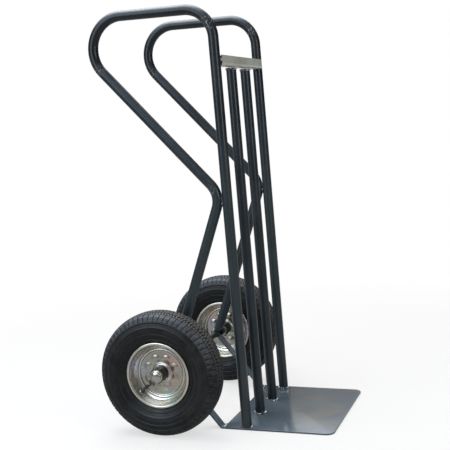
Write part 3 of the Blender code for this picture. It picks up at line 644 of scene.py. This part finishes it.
black_steel = steel_finish("black_axle_steel", (0.010, 0.015, 0.020), (0.026, 0.034, 0.042), 0.30, 21.0, 0.4)
zinc = steel_finish("zinc_washers", (0.40, 0.40, 0.38), (0.58, 0.58, 0.55), 0.26, 22.0, 1.0)
washer_near, washer_far = HUB_END + FIT_GAP, HUB_END + FIT_GAP + WASHER_SHEET
past_washer = washer_far + FIT_GAP
half_axle = WHEEL_PLANE + washer_far + AXLE_PAST
axle_outline = [(0, half_axle), (AXLE_RADIUS, half_axle), (AXLE_RADIUS, -half_axle), (0, -half_axle)]
axle_place = Matrix.Translation((AXLE_CENTRE.x, 0, AXLE_CENTRE.y)) @ Matrix.Rotation(math.pi / 2, 4, "X")
axle = lathe("axle_bar", eased(axle_outline, 0.001), 64, axle_place, black_steel)
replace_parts(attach(axle, "frame"), "axle")
sleeve = ring(AXLE_BORE, SLEEVE_RADIUS, PLATE_SIDE + FIT_GAP - WHEEL_PLANE, -past_washer)
inner_washer = ring(AXLE_BORE, WASHER_RADIUS, -washer_far, -washer_near)
outer_washer = ring(AXLE_BORE, WASHER_RADIUS, washer_near, washer_far)
for side, sign in SIDES:
    for node, outline, coat, slot_name in (("spacer_sleeve_", sleeve, black_steel, "black_steel"),
                                           ("inner_washer_", inner_washer, zinc, "zinc_plating"),
                                           ("outer_washer_", outer_washer, zinc, "zinc_plating")):
        piece = lathe(node + side + "_turned", eased(outline, 0.0005), 64, wheel_place(sign), coat)
        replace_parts(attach(piece, "frame"), node + side)


# Axle end caps
# A pressed steel cap with a domed top is driven over each end of the axle and keeps the wheel on.
# It is bright plated and dulled by handling.

CAP_RADIUS, CAP_SHEET, DOME_BASE, DOME_RISE = 0.0160, 0.0012, 0.0026, 0.0052
# Rings of grime and painted shade on a rim: middle, half width and share.
DIRT_AND_SHADE_RINGS = ((0.0850, 0.0014, 1.0), (0.0714, 0.0012, 0.8), (0.0638, 0.0014, 0.35))
# Where a painted highlight lies on the raised ring's crest.
RING_PAINTED_HIGHLIGHT = 0.0678
BATH_TINTS = ((0.3, 0.52, (0.64, 0.38, 0.22)), (7.1, 0.44, (0.38, 0.38, 0.62)),
              (13.7, 0.38, (0.40, 0.60, 0.36)))


def plating(name, dark, pale, seed, rough, metallic):
    """Plated pressing: cloudy grey-beige with faint straw, violet and green tints from its plating bath.

    On a rim, the disc is painted darker as painted shade; grime and painted shade lie in a ring
    beside the lip and on both sides of the raised ring, whose crest has a painted highlight.
    Caps are smaller than all of these rings.
    """
    material, tree, shader = new_finish(name)
    seen, place = marks(tree, 24.0, 300.0, seed), coordinates(tree)
    out_from_axle = length_of(tree, away_from(tree, AXLE_CENTRE.x, AXLE_CENTRE.y))
    # The disc is painted darker than the rest of the pressing: painted shade.
    disc_painted_shade = maths(tree, "MULTIPLY", spread(tree, out_from_axle, 0.017, 0.022, 0.0, 0.62),
                   spread(tree, out_from_axle, 0.058, 0.069, 1.0, 0.25))
    tinted = mixed(tree, seen["Patches"], dark, pale)
    tinted = mixed(tree, disc_painted_shade, tinted, (0.200, 0.186, 0.156))
    for extra, share, tint in BATH_TINTS:
        cloud = spread(tree, noise(tree, place, 17.0, 2.0, 0.5, seed + extra), 0.52, 0.72, 0.0, share)
        tinted = mixed(tree, cloud, tinted, tint)
    # Grime and painted shade in rings beside the lip and on both sides of the raised ring.
    dirt_and_shade = None
    for middle, half, share in DIRT_AND_SHADE_RINGS:
        off = maths(tree, "ABSOLUTE", maths(tree, "SUBTRACT", out_from_axle, middle))
        band = spread(tree, off, half * 0.4, half, share, 0.0)
        dirt_and_shade = band if dirt_and_shade is None else maths(tree, "MAXIMUM", dirt_and_shade, band)
    # A pale line on the raised ring's crest: a painted highlight.
    off = maths(tree, "ABSOLUTE", maths(tree, "SUBTRACT", out_from_axle, RING_PAINTED_HIGHLIGHT))
    tinted = mixed(tree, spread(tree, off, 0.0014, 0.0026, 0.6, 0.0), tinted, (0.66, 0.64, 0.58))
    grime_and_shade = mixed(tree, maths(tree, "MULTIPLY", dirt_and_shade, 0.75), tinted, (0.045, 0.040, 0.032))
    rough_share = maths(tree, "ADD", spread(tree, seen["Patches"], 0.0, 1.0, rough, rough + 0.10),
                        maths(tree, "MULTIPLY", dirt_and_shade, 0.20))
    feed(tree, shader, {"Base Color": grime_and_shade, "Roughness": rough_share, "Metallic": metallic,
                        "Normal": relief(tree, seen["Grain"], 0.00002, 0.025)})
    return material


def cap_outline():
    """Section of a cap: over the dome, down the skirt to its foot, and up again inside the sheet."""
    base, turns = past_washer, [math.radians(9 * step) for step in range(11)]
    dome = [(CAP_RADIUS * 0.86 * math.sin(turn), base + DOME_BASE + DOME_RISE * math.cos(turn))
            for turn in turns]
    hollow = [(max(0.0, radius - CAP_SHEET), height - CAP_SHEET) for radius, height in reversed(dome)]
    skirt = [(CAP_RADIUS * 0.88, base + 0.0014), (CAP_RADIUS - 0.0004, base + 0.0012),
             (CAP_RADIUS, base + 0.0006), (CAP_RADIUS - 0.0003, base), (CAP_RADIUS * 0.80, base)]
    return [(0, dome[0][1])] + dome[1:] + skirt + hollow[:-1] + [(0, hollow[-1][1])]


cap_plating = plating("cap_plating", (0.32, 0.295, 0.235), (0.44, 0.41, 0.34), 31.0, 0.13, 1.0)
for side, sign in SIDES:
    cap = lathe("end_cap_" + side + "_pressed", cap_outline(), 96, wheel_place(sign), cap_plating, 50)
    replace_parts(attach(cap, "frame"), "axle_cap_" + side)


# Tyres
# Black rubber air tyres.  The casing is moulded with rings on its walls.  The tread has a zigzag
# middle rib, slanted blocks and small blocks beside it, and wide lugs with thin slots between them
# on each shoulder.  Dust lies on top and where the tyre rolls; paler tops and the tread's blue-grey
# dust are partly painted light from above, and the left tyre's extra dust is painted light for its
# brighter top.  The casing down between the blocks is painted near-black, a painted shade.

TYRE_RADIUS, TREAD_DEPTH, SLOT_DEPTH, PITCHES, LUG_PITCHES = 0.175, 0.0034, 0.0018, 104, 66
PITCH, LUG_PITCH = 2 * math.pi / PITCHES, 2 * math.pi / LUG_PITCHES
CROWN_HALF, CROWN_DROP, CROWN_STEP = 0.039, 0.0085, 0.0039
SHOULDER_WIDTH, SHOULDER_DROP = 0.0070, 0.0120
RIB_HALF, RIB_SKEW = 0.0036, 0.0013


def tread_radius(height):
    """Radius of the tread's surface at a distance from the middle plane."""
    reach = abs(height)
    if reach <= CROWN_HALF:
        return TYRE_RADIUS - CROWN_DROP * (reach / CROWN_HALF) ** 3.0
    return TYRE_RADIUS - CROWN_DROP - SHOULDER_DROP * (reach - CROWN_HALF) / SHOULDER_WIDTH


def casing_outline():
    """Section of the casing: under the tread, shallower under the shoulder lugs, down the ringed walls,
    round the beads and back inside."""
    depths = [TREAD_DEPTH] * 8 + [SLOT_DEPTH] * 2
    crown = [(tread_radius(step * CROWN_STEP) - depth, step * CROWN_STEP)
             for step, depth in enumerate(depths)]
    wall = [(0.1620, 0.0402), (0.1585, 0.0424), (0.1562, 0.0434), (0.1550, 0.0438), (0.1545, 0.0452),
            (0.1535, 0.0462), (0.1520, 0.0466), (0.1510, 0.0458), (0.1500, 0.0454), (0.1480, 0.0466),
            (0.1440, 0.0481), (0.1405, 0.0486), (0.1400, 0.0495), (0.1390, 0.0500), (0.1372, 0.0500),
            (0.1362, 0.0496), (0.1357, 0.0486), (0.1320, 0.0490), (0.1280, 0.0486), (0.1240, 0.0478),
            (0.1205, 0.0465), (0.1198, 0.0476), (0.1188, 0.0478), (0.1170, 0.0472), (0.1162, 0.0465),
            (0.1158, 0.0451), (0.1120, 0.0438), (0.1080, 0.0418), (0.1056, 0.0401), (0.1050, 0.0410),
            (0.1040, 0.0410), (0.1026, 0.0402), (0.1018, 0.0390), (0.1012, 0.0375), (0.0985, 0.0360),
            (0.0955, 0.0338), (0.0940, 0.0318), (0.0925, 0.0308), (0.0880, 0.0303), (0.0858, 0.0288),
            (0.0849, 0.0255)]
    inside = [(0.0850, 0.0215), (0.0930, 0.0245), (0.1100, 0.0380), (0.1300, 0.0437), (0.1500, 0.0400),
              (0.1610, 0.0250), (0.1632, 0.0120), (0.1635, 0.0)]
    outside = crown + wall
    return (list(reversed(outside)) + [(radius, -height) for radius, height in outside[1:] + inside]
            + list(reversed(inside[:-1])))


def lug(builder, corners, inset=0.0006):
    """One block of tread, from (turn, height) corners: sides, eased rim and top."""
    centre = sum((Vector(corner) for corner in corners), Vector((0, 0))) / len(corners)
    levels = []
    for sink, shrink in ((TREAD_DEPTH + 0.0012, 0.0), (inset, 0.0), (0.0, inset)):
        level = []
        for turn, height in corners:
            pull = Vector((turn - centre.x, height - centre.y))
            flat = Vector((pull.x * TYRE_RADIUS, pull.y))
            keep = 1 - shrink / max(flat.length, 1e-6)
            turn, height = centre.x + pull.x * keep, centre.y + pull.y * keep
            radius = tread_radius(height) - sink
            level.append(builder.verts.new((radius * math.cos(turn), radius * math.sin(turn), height)))
        levels.append(level)
    for low, high in zip(levels, levels[1:]):
        for index in range(len(corners)):
            follow = (index + 1) % len(corners)
            builder.faces.new((low[index], low[follow], high[follow], high[index]))
    builder.faces.new(levels[-1])
    builder.faces.new(list(reversed(levels[0])))


def slanted(face, near, far, start, wide, slant):
    """Corners of a block on one face of the tyre, from near to far of the middle plane."""
    corners = [(start, near), (start + wide, near), (start + wide + slant, far), (start + slant, far)]
    return [(turn, face * height) for turn, height in corners]


def finished_mesh(name, builder):
    mesh = bpy.data.meshes.new(name)
    bmesh.ops.recalc_face_normals(builder, faces=builder.faces)
    builder.to_mesh(mesh)
    builder.free()
    return mesh


def tread_pitch():
    """The middle rib and the blocks beside it, over one pitch; the two sides are half a pitch apart."""
    builder = bmesh.new()
    for low, skew in ((0, -RIB_SKEW), (PITCH / 2, RIB_SKEW)):
        high = low + PITCH / 2
        lug(builder, [(low, -RIB_HALF - skew), (high, -RIB_HALF + skew), (high, RIB_HALF + skew),
                      (low, RIB_HALF - skew)])
    for face, start in ((-1, 0), (1, PITCH / 2)):
        lug(builder, slanted(face, 0.0068, 0.0154, start, PITCH * 0.74, PITCH * 0.35))
    return finished_mesh("tread_pitch", builder)


def shoulder_pitch():
    """On each side one wide shoulder lug beside a thin slot, and two small blocks along its inner edge."""
    builder = bmesh.new()
    lug_line = ((0.0278, 0.0), (0.0340, 0.02), (0.0392, 0.04), (0.0432, 0.06), (0.0454, 0.07))
    for face, start in ((-1, 0), (1, LUG_PITCH / 2)):
        for first in (start, start + LUG_PITCH / 2):
            lug(builder, slanted(face, 0.0189, 0.0260, first, LUG_PITCH * 0.38, LUG_PITCH * -0.05), 0.0005)
        for (near, slant), (far, next_slant) in zip(lug_line, lug_line[1:]):
            first, lean = start + LUG_PITCH * slant, LUG_PITCH * (next_slant - slant)
            lug(builder, slanted(face, near, far, first, LUG_PITCH * 0.86, lean), 0.0001)
    return finished_mesh("shoulder_pitch", builder)


def round_tree():
    """Repeat what comes in round local Z, a whole number of times."""
    tree, given, out = new_tree("round_the_wheel", "GeometryNodeTree",
                                [("Piece", "Geometry"), ("Count", "Int"), ("Finish", "Material")],
                                [("Ring", "Geometry")])
    points = add_node(tree, "GeometryNodePoints", {"Count": given["Count"]})
    index = add_node(tree, "GeometryNodeInputIndex").outputs[0]
    turn = maths(tree, "MULTIPLY", maths(tree, "DIVIDE", index, given["Count"]), 2 * math.pi)
    about = add_node(tree, "ShaderNodeCombineXYZ", {"Z": turn})
    laid = add_node(tree, "GeometryNodeInstanceOnPoints",
                    {"Points": points.outputs[0], "Instance": given["Piece"], "Rotation": about.outputs[0]})
    return end_tree(tree, out, laid.outputs[0], given["Finish"])


def tyre_rubber(name, seed, dust_colour, dust_and_light_share, groove_shade, rolled):
    """Black rubber with dry dust in patches, pale where it rolls and paler on top, partly painted
    light from above, and dark down between the blocks as painted shade.
    """
    material, tree, shader = new_finish(name)
    seen, normal = marks(tree, 30.0, 620.0, seed), coordinates(tree, "Normal")
    centred = away_from(tree, AXLE_CENTRE.x, AXLE_CENTRE.y)
    out_from_axle, up = length_of(tree, centred), split(tree, normal)[2]
    coat = mixed(tree, seen["Patches"], (0.0030, 0.0034, 0.0036), (0.0062, 0.0064, 0.0060))
    thrown = maths(tree, "MULTIPLY", spread(tree, out_from_axle, 0.100, 0.140, 0.04, 0.12), seen["Patches"])
    lying = maths(tree, "ADD", maths(tree, "MULTIPLY", seen["Dust"], dust_and_light_share), thrown)
    # Paler on the upward faces of the shoulders: dust, and partly painted light from above.
    shoulder = maths(tree, "MULTIPLY", spread(tree, out_from_axle, 0.1495, 0.1560, 0.0, 0.46),
                     spread(tree, up, -0.1, 0.55))
    shoulder = maths(tree, "MULTIPLY", shoulder, spread(tree, seen["Patches"], 0.0, 1.0, 0.6, 1.0))
    dusty = mixed(tree, maths(tree, "ADD", lying, shoulder), coat, dust_colour)
    # The casing down between the blocks is painted near-black: painted shade.
    groove_painted_shade = spread(tree, out_from_axle, 0.1550, 0.1580, 0.0, groove_shade)
    dusty = mixed(tree, groove_painted_shade, dusty, (0.0012, 0.0012, 0.0012))
    # Pale where the tread rolls and more so on top: rolled dust, with painted light from above.
    outward = add_node(tree, "ShaderNodeVectorMath", {0: centred}, operation="NORMALIZE").outputs[0]
    facing = add_node(tree, "ShaderNodeVectorMath", {0: outward, 1: normal}, operation="DOT_PRODUCT")
    rolled_dust_and_top_light = maths(tree, "MULTIPLY", spread(tree, facing.outputs["Value"], 0.60, 0.88, 0.0, rolled),
                    spread(tree, up, -0.2, 0.9, 0.12, 1.0))
    beside = maths(tree, "ABSOLUTE", split(tree, coordinates(tree))[1])
    off_middle = maths(tree, "ABSOLUTE", maths(tree, "SUBTRACT", beside, WHEEL_PLANE))
    rolled_dust_and_top_light = maths(tree, "MULTIPLY", rolled_dust_and_top_light, spread(tree, off_middle, 0.0262, 0.0280, 1.0, 0.0))
    dusty = mixed(tree, rolled_dust_and_top_light, dusty, (0.150, 0.134, 0.104))
    scuffs = maths(tree, "MULTIPLY", wear(tree, 120.0, 0.52), 0.25)
    feed(tree, shader, {"Base Color": mixed(tree, scuffs, dusty, (0.075, 0.070, 0.060)),
                        "Roughness": spread(tree, seen["Patches"], 0.0, 1.0, 0.40, 0.60),
                        "Specular IOR Level": 0.21, "Normal": relief(tree, seen["Grain"], 0.0002, 0.4)})
    return material


ROUND_TREE = round_tree()
# The left tyre's larger share is partly painted light for the brighter top of that tyre.
for side, sign, dust_and_light_share in (("right", -1, 0.18), ("left", 1, 0.36)):
    casing_rubber = tyre_rubber("tyre_casing_rubber_" + side, 41.0, (0.062, 0.066, 0.070), dust_and_light_share,
                                0.85, 0.0)
    # The tread's dust is blue-grey, partly a painted tint of the light on the tyre's top.
    tread_rubber = tyre_rubber("tyre_tread_rubber_" + side, 42.0, (0.090, 0.100, 0.115), dust_and_light_share + 0.08,
                               0.0, 0.50)
    casing = lathe("tyre_casing_" + side, casing_outline(), 168, wheel_place(sign), casing_rubber, 60)
    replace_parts(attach(casing, "wheel_" + side), "tyre_" + side)
    for name, piece, count in (("tyre_tread_", tread_pitch(), PITCHES),
                               ("tyre_lugs_", shoulder_pitch(), LUG_PITCHES)):
        tread = grow(name + side, piece, ROUND_TREE, {"Count": count, "Finish": tread_rubber})
        tread.data.transform(wheel_place(sign))
        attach(tread, "wheel_" + side)


# Rims
# Each rim is two pressings of bright plated sheet, back to back: a rolled flange, a wall that
# curves in under the tyre, a raised ring and a disc with eight soft bumps, welded to the hub.

RIM_SHEET = 0.0018
BUMP_COUNT, BUMP_START = 8, math.radians(22.5)
BUMP_RADIUS, BUMP_LONG, BUMP_WIDE, BUMP_HEIGHT = 0.0432, 0.0158, 0.0125, 0.0024


def pressed_half(name, flip, to_place, finish):
    """Turn the sheet's middle line, press the bumps into the disc, then give the sheet its wall."""
    section = [(0.0914, 0.0318), (0.0921, 0.0326), (0.0922, 0.0336), (0.0915, 0.0344), (0.0903, 0.0348),
               (0.0888, 0.0348), (0.0872, 0.0344), (0.0858, 0.0335), (0.0849, 0.0325), (0.0842, 0.0312),
               (0.0838, 0.0296), (0.0834, 0.0268), (0.0828, 0.0236), (0.0820, 0.0204), (0.0810, 0.0174),
               (0.0798, 0.0147), (0.0784, 0.0123), (0.0769, 0.0102), (0.0754, 0.0084), (0.0739, 0.0069),
               (0.0724, 0.0057), (0.0713, 0.0050), (0.0705, 0.0048), (0.0698, 0.0052), (0.0691, 0.0061),
               (0.0681, 0.0067), (0.0669, 0.0066), (0.0658, 0.0058), (0.0650, 0.0041), (0.0642, 0.0027),
               (0.0630, 0.0018), (0.0612, 0.0015)]
    section += [(0.0599 - 0.0013 * step, 0.0015) for step in range(23)]
    section += [(0.0300, 0.0016), (0.0285, 0.0019), (0.0268, 0.0030), (0.0256, 0.0044), (0.0246, 0.0052),
                (0.0232, 0.0056), (0.0216, 0.0057)]
    steps, points, faces = 144, [], []
    for radius, height in section:
        for step in range(steps):
            turn, apart = 2 * math.pi * step / steps, 2 * math.pi / BUMP_COUNT
            away = (turn - BUMP_START) % apart
            away = min(away, apart - away) * radius
            near = max(0.0, 1 - (away / BUMP_LONG) ** 2 - ((radius - BUMP_RADIUS) / BUMP_WIDE) ** 2)
            raised = height + BUMP_HEIGHT * near ** 1.5
            points.append((radius * math.cos(turn), radius * math.sin(turn), raised))
    for row in range(len(section) - 1):
        for step in range(steps):
            follow = (step + 1) % steps
            faces.append((row * steps + step, (row + 1) * steps + step,
                          (row + 1) * steps + follow, row * steps + follow))
    mesh = bpy.data.meshes.new(name)
    mesh.from_pydata(points, [], faces)
    if flip:
        mesh.transform(Matrix.Rotation(math.pi, 4, "X"))
    mesh.transform(to_place)
    half = add_object(name, mesh)
    wall = half.modifiers.new("sheet", "SOLIDIFY")
    wall.thickness, wall.offset, wall.use_even_offset = RIM_SHEET, 0.0, True
    half = plain_mesh(name, half)
    half.data.materials.append(finish)
    return smooth(half, 50)


rim_plating = plating("rim_plating", (0.52, 0.495, 0.435), (0.66, 0.632, 0.570), 51.0, 0.20, 0.92)
for side, sign in SIDES:
    for half, flip in (("outer", False), ("inner", True)):
        pressed = pressed_half("rim_" + half + "_" + side + "_pressed", flip, wheel_place(sign), rim_plating)
        node = "rim_" + half + "_half_" + side
        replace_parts(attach(pressed, "wheel_" + side), node)


# Hubs and bearings
# A steel barrel is welded through the two discs; a ball bearing is pressed into each of its ends.
# The barrel is dark bare steel, the bearings are plain zinc-bright rings behind the washers.

HUB_RADIUS, HUB_INSIDE, BEARING_RADIUS, BEARING_WIDTH = 0.0205, 0.015, 0.0175, 0.011
FACE_INNER, FACE_OUTER, FACE_SINK = 0.011, 0.0148, 0.0006


def hub_outline():
    """Section of a barrel, with a stepped seat for the bearing in each end."""
    seat, floor = BEARING_RADIUS + FIT_GAP, HUB_END - BEARING_WIDTH - 2 * FIT_GAP
    return [(HUB_RADIUS, HUB_END), (HUB_RADIUS, -HUB_END), (seat, -HUB_END), (seat, -floor),
            (HUB_INSIDE, -floor), (HUB_INSIDE, floor), (seat, floor), (seat, HUB_END)]


def bearing_outline():
    """Section of a bearing: two races and, between them, a shield that lies a little deeper."""
    top, shield = BEARING_WIDTH, BEARING_WIDTH - FACE_SINK
    return [(BEARING_RADIUS, top), (BEARING_RADIUS, 0), (AXLE_BORE, 0), (AXLE_BORE, top), (FACE_INNER, top),
            (FACE_INNER, shield), (FACE_OUTER, shield), (FACE_OUTER, top)]


hub_steel = steel_finish("hub_steel", (0.045, 0.046, 0.040), (0.095, 0.092, 0.080), 0.16, 61.0, 0.95)
bearing_steel = steel_finish("bearing_steel", (0.45, 0.45, 0.44), (0.62, 0.62, 0.60), 0.20, 62.0, 1.0)
for side, sign in SIDES:
    hub = lathe("hub_barrel_" + side, eased(hub_outline(), 0.0009), 96, wheel_place(sign), hub_steel)
    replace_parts(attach(hub, "wheel_" + side), "hub_" + side)
    for where, flip in (("outer", 1), ("inner", -1)):
        shift = Matrix.Translation((0, 0, flip * (HUB_END - BEARING_WIDTH - FIT_GAP)))
        if flip < 0:
            shift = shift @ Matrix.Rotation(math.pi, 4, "X")
        race = lathe("bearing_" + where + "_" + side + "_ring", eased(bearing_outline(), 0.0003), 64,
                     wheel_place(sign) @ shift, bearing_steel)
        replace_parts(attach(race, "wheel_" + side), "bearing_" + where + "_" + side)


# Inner tubes, valves and caps
# A butyl tube fills each tyre.  Its valve comes out through the outer rim's steep wall and points at
# the hub: a bright eyelet, a rubber stem with a threaded tip, and a black cap with a ribbed grip.

VALVE_TURN, VALVE_TILT, VALVE_SINK = math.radians(222), math.radians(76), 0.0080
VALVE_ALONG = Vector((-math.sin(VALVE_TILT), math.cos(VALVE_TILT)))
VALVE_ROOT = Vector((0.0784, 0.0132)) - VALVE_ALONG * VALVE_SINK
RIB_COUNT, RIB_WIDTH, RIB_LENGTH, RIB_OUT, RIB_MIDDLE = 18, 0.0007, 0.0082, 0.00384, 0.0308


def valve_place(sign):
    """Local Z runs out along the valve, from inside the rim's wall towards the hub."""
    radial = Vector((math.cos(VALVE_TURN), math.sin(VALVE_TURN), 0))
    along = radial * VALVE_ALONG.x + Vector((0, 0, VALVE_ALONG.y))
    at = radial * VALVE_ROOT.x + Vector((0, 0, VALVE_ROOT.y))
    return wheel_place(sign) @ Matrix.Translation(at) @ along.to_track_quat("Z", "Y").to_matrix().to_4x4()


def boot_rubber(name, seed):
    """Near-black moulded rubber or plastic, finely grained."""
    material, tree, shader = new_finish(name)
    seen = marks(tree, 90.0, 900.0, seed)
    black = mixed(tree, seen["Patches"], (0.010, 0.010, 0.010), (0.028, 0.027, 0.026))
    feed(tree, shader, {"Base Color": black, "Roughness": spread(tree, seen["Grain"], 0.3, 0.7, 0.40, 0.62),
                        "Normal": relief(tree, seen["Grain"], 0.0002, 0.5)})
    return material


def thread(low, high, core, crest, turns):
    """Outline points down a threaded length, as rings of crests and roots."""
    step = (high - low) / turns
    points = []
    for turn in range(turns):
        top = high - turn * step
        points += [(core, top), (crest, top - step * 0.35), (crest, top - step * 0.6)]
    return points + [(core, low)]


def grip_rib():
    """One upright rib of the cap's grip."""
    builder = bmesh.new()
    made = bmesh.ops.create_cube(builder, size=1.0)
    bmesh.ops.scale(builder, verts=made["verts"], vec=(RIB_WIDTH, RIB_WIDTH, RIB_LENGTH))
    bmesh.ops.translate(builder, verts=made["verts"], vec=(RIB_OUT, 0, RIB_MIDDLE))
    edges = [edge for edge in builder.edges if abs(edge.verts[0].co.z - edge.verts[1].co.z) > RIB_WIDTH]
    bmesh.ops.bevel(builder, geom=edges, offset=0.0002, segments=2, affect="EDGES")
    return finished_mesh("grip_rib", builder)


boot = boot_rubber("valve_boot_rubber", 71.0)
eyelet_metal = steel_finish("valve_eyelet_plating", (0.50, 0.48, 0.42), (0.70, 0.68, 0.62), 0.20, 72.0, 1.0)
cap_plastic = boot_rubber("valve_cap_plastic", 73.0)
tube_butyl = boot_rubber("tube_butyl", 74.0)
stem_outline = ([(0, 0.0338), (0.0020, 0.0338), (0.0025, 0.0334)] + thread(0.0252, 0.0330, 0.0021, 0.0026, 7)
                + [(0.0026, 0.0248), (0.0030, 0.0240), (0.0032, 0.0215), (0.0034, 0.0165), (0.0044, 0.0145),
                   (0.0064, 0.0130), (0.0069, 0.0114), (0.0066, 0.0098), (0.0052, 0.0092), (0.0052, 0),
                   (0, 0)])
valve_cap_outline = [(0, 0.0371), (0.0026, 0.0371), (0.0034, 0.0366), (0.0038, 0.0355), (0.0038, 0.0262),
                     (0.0036, 0.0254), (0.0029, 0.0254), (0.0029, 0.0343), (0, 0.0343)]
eyelet_outline = eased(ring(0.0056, 0.0078, 0.0066, 0.0090), 0.0005)
for side, sign in SIDES:
    stem = lathe("valve_stem_" + side + "_moulded", stem_outline, 40, valve_place(sign), boot)
    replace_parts(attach(stem, "wheel_" + side), "valve_stem_" + side)
    eyelet = lathe("valve_eyelet_" + side, eyelet_outline, 40, valve_place(sign), eyelet_metal)
    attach(eyelet, "wheel_" + side)
    cap = lathe("valve_cap_" + side + "_moulded", valve_cap_outline, 40, valve_place(sign), cap_plastic)
    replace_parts(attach(cap, "wheel_" + side), "valve_cap_" + side)
    grip = grow("valve_grip_" + side, grip_rib(), ROUND_TREE, {"Count": RIB_COUNT, "Finish": cap_plastic})
    grip.data.transform(valve_place(sign))
    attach(grip, "wheel_" + side)
    air_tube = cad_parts["inner_tube_" + side]
    air_tube.data.materials.clear()
    air_tube.data.materials.append(tube_butyl)


# Studio
# A pale floor and white surroundings, a large soft lamp overhead and one on each side of the camera,
# which stands at the photograph's place: off the truck's right side, a little forward, waist high.

FLOOR_HALF, FLOOR_LEVEL = 30, -0.0004
YAW, PITCH_DOWN, ROLL = math.radians(19.6), math.radians(6.8), math.radians(-3.1)
CAMERA_AT, FOCAL_LENGTH, SENSOR_WIDTH = (0.8186, -2.5819, 0.8793), 74.52, 36


def studio_floor():
    """A plain pale floor that keeps the truck's shadow and goes over into white farther out."""
    material, tree, shader = new_finish("pale_floor")
    feed(tree, shader, {"Base Color": (0.80, 0.80, 0.80, 1), "Roughness": 0.9, "Specular IOR Level": 0.0})
    path = add_node(tree, "ShaderNodeLightPath").outputs
    dimmed = maths(tree, "SUBTRACT", 1.0, maths(tree, "MULTIPLY", path["Is Glossy Ray"], 0.56))
    glow = add_node(tree, "ShaderNodeEmission", {"Color": (1, 1, 1, 1), "Strength": dimmed})
    seen = maths(tree, "MAXIMUM", path["Is Camera Ray"], path["Is Glossy Ray"])
    far = spread(tree, length_of(tree, coordinates(tree)), 0.7, 2.2, 0.62, 1.0)
    share = maths(tree, "MULTIPLY", seen, far)
    blend = add_node(tree, "ShaderNodeMixShader", {0: share, 1: shader.outputs[0], 2: glow.outputs[0]})
    tree.links.new(blend.outputs[0], tree.nodes["Material Output"].inputs["Surface"])
    mesh = bpy.data.meshes.new("floor")
    corners = [(x * FLOOR_HALF, y * FLOOR_HALF, FLOOR_LEVEL) for x, y in ((-1, -1), (1, -1), (1, 1), (-1, 1))]
    mesh.from_pydata(corners, [], [(0, 1, 2, 3)])
    mesh.materials.append(material)
    add_object("floor", mesh)


def studio_world():
    """White to the eye; in mirror-like reflections darker, and brightest overhead."""
    world = bpy.data.worlds.new("studio")
    world.use_nodes = True
    tree = world.node_tree
    path = add_node(tree, "ShaderNodeLightPath").outputs
    seen = maths(tree, "MAXIMUM", path["Is Camera Ray"], path["Is Transmission Ray"])
    way = split(tree, coordinates(tree, "Generated"))
    behind = spread(tree, way[1], -0.9, -0.2, 0.24, 0.06)
    beside = spread(tree, way[0], -0.95, -0.4, 0.16, 0.0)
    above = maths(tree, "ADD", spread(tree, way[2], 0.28, 0.60, 0.0, 1.6),
                  spread(tree, way[2], 0.50, 0.80, 0.0, 3.1))
    above = maths(tree, "MULTIPLY", above, spread(tree, way[0], 0.05, 0.45, 1.0, 0.12))
    shown = maths(tree, "ADD", maths(tree, "ADD", behind, beside), above)
    lit = maths(tree, "MULTIPLY", maths(tree, "SUBTRACT", 1.0, path["Is Glossy Ray"]), 0.55)
    glossy = maths(tree, "MULTIPLY", path["Is Glossy Ray"], shown)
    tint = maths(tree, "MULTIPLY", maths(tree, "ADD", beside, spread(tree, above, 0.3, 1.5, 0.0, 0.45)),
                 path["Is Glossy Ray"])
    strength = maths(tree, "MAXIMUM", seen, maths(tree, "ADD", lit, glossy))
    feed(tree, tree.nodes["Background"], {"Color": mixed(tree, tint, (1, 1, 1), (0.45, 0.68, 1.0)),
                                          "Strength": strength})
    bpy.context.scene.world = world


def soft_lamp(name, at, towards, width, depth, power, colour=(1, 1, 1)):
    lamp = bpy.data.lights.new(name, "AREA")
    lamp.color = colour
    lamp.shape, lamp.size, lamp.size_y, lamp.energy = "RECTANGLE", width, depth, power
    holder = add_object(name, lamp)
    holder.location = at
    holder.rotation_euler = (Vector(towards) - Vector(at)).to_track_quat("-Z", "Y").to_euler()


def studio_camera():
    """Aim by yaw, pitch and roll, from a truck that faces +X."""
    ahead = Vector((-math.sin(YAW) * math.cos(PITCH_DOWN), math.cos(YAW) * math.cos(PITCH_DOWN),
                    -math.sin(PITCH_DOWN)))
    level = Vector((math.cos(YAW), math.sin(YAW), 0))
    upward = level.cross(ahead)
    right = math.cos(ROLL) * level + math.sin(ROLL) * upward
    top = -math.sin(ROLL) * level + math.cos(ROLL) * upward
    lens = bpy.data.cameras.new("camera")
    lens.lens, lens.sensor_width, lens.clip_start, lens.clip_end = FOCAL_LENGTH, SENSOR_WIDTH, 0.05, 100
    camera = add_object("camera", lens)
    camera.matrix_world = Matrix.Translation(CAMERA_AT) @ Matrix((right, top, -ahead)).transposed().to_4x4()
    bpy.context.scene.camera = camera


studio_floor()
studio_world()
soft_lamp("overhead", (-0.8, 0.1, 3.0), (-0.1, 0, 0.6), 2.4, 1.6, 60)
soft_lamp("left_front", (-1.75, -2.85, 1.8), (-0.1, 0, 0.5), 1.7, 2.2, 44, (0.74, 0.88, 1.0))
soft_lamp("right_front", (2.6, -1.4, 1.5), (0, 0, 0.5), 1.0, 1.6, 22)
studio_camera()
bpy.context.scene.view_settings.view_transform = "Standard"
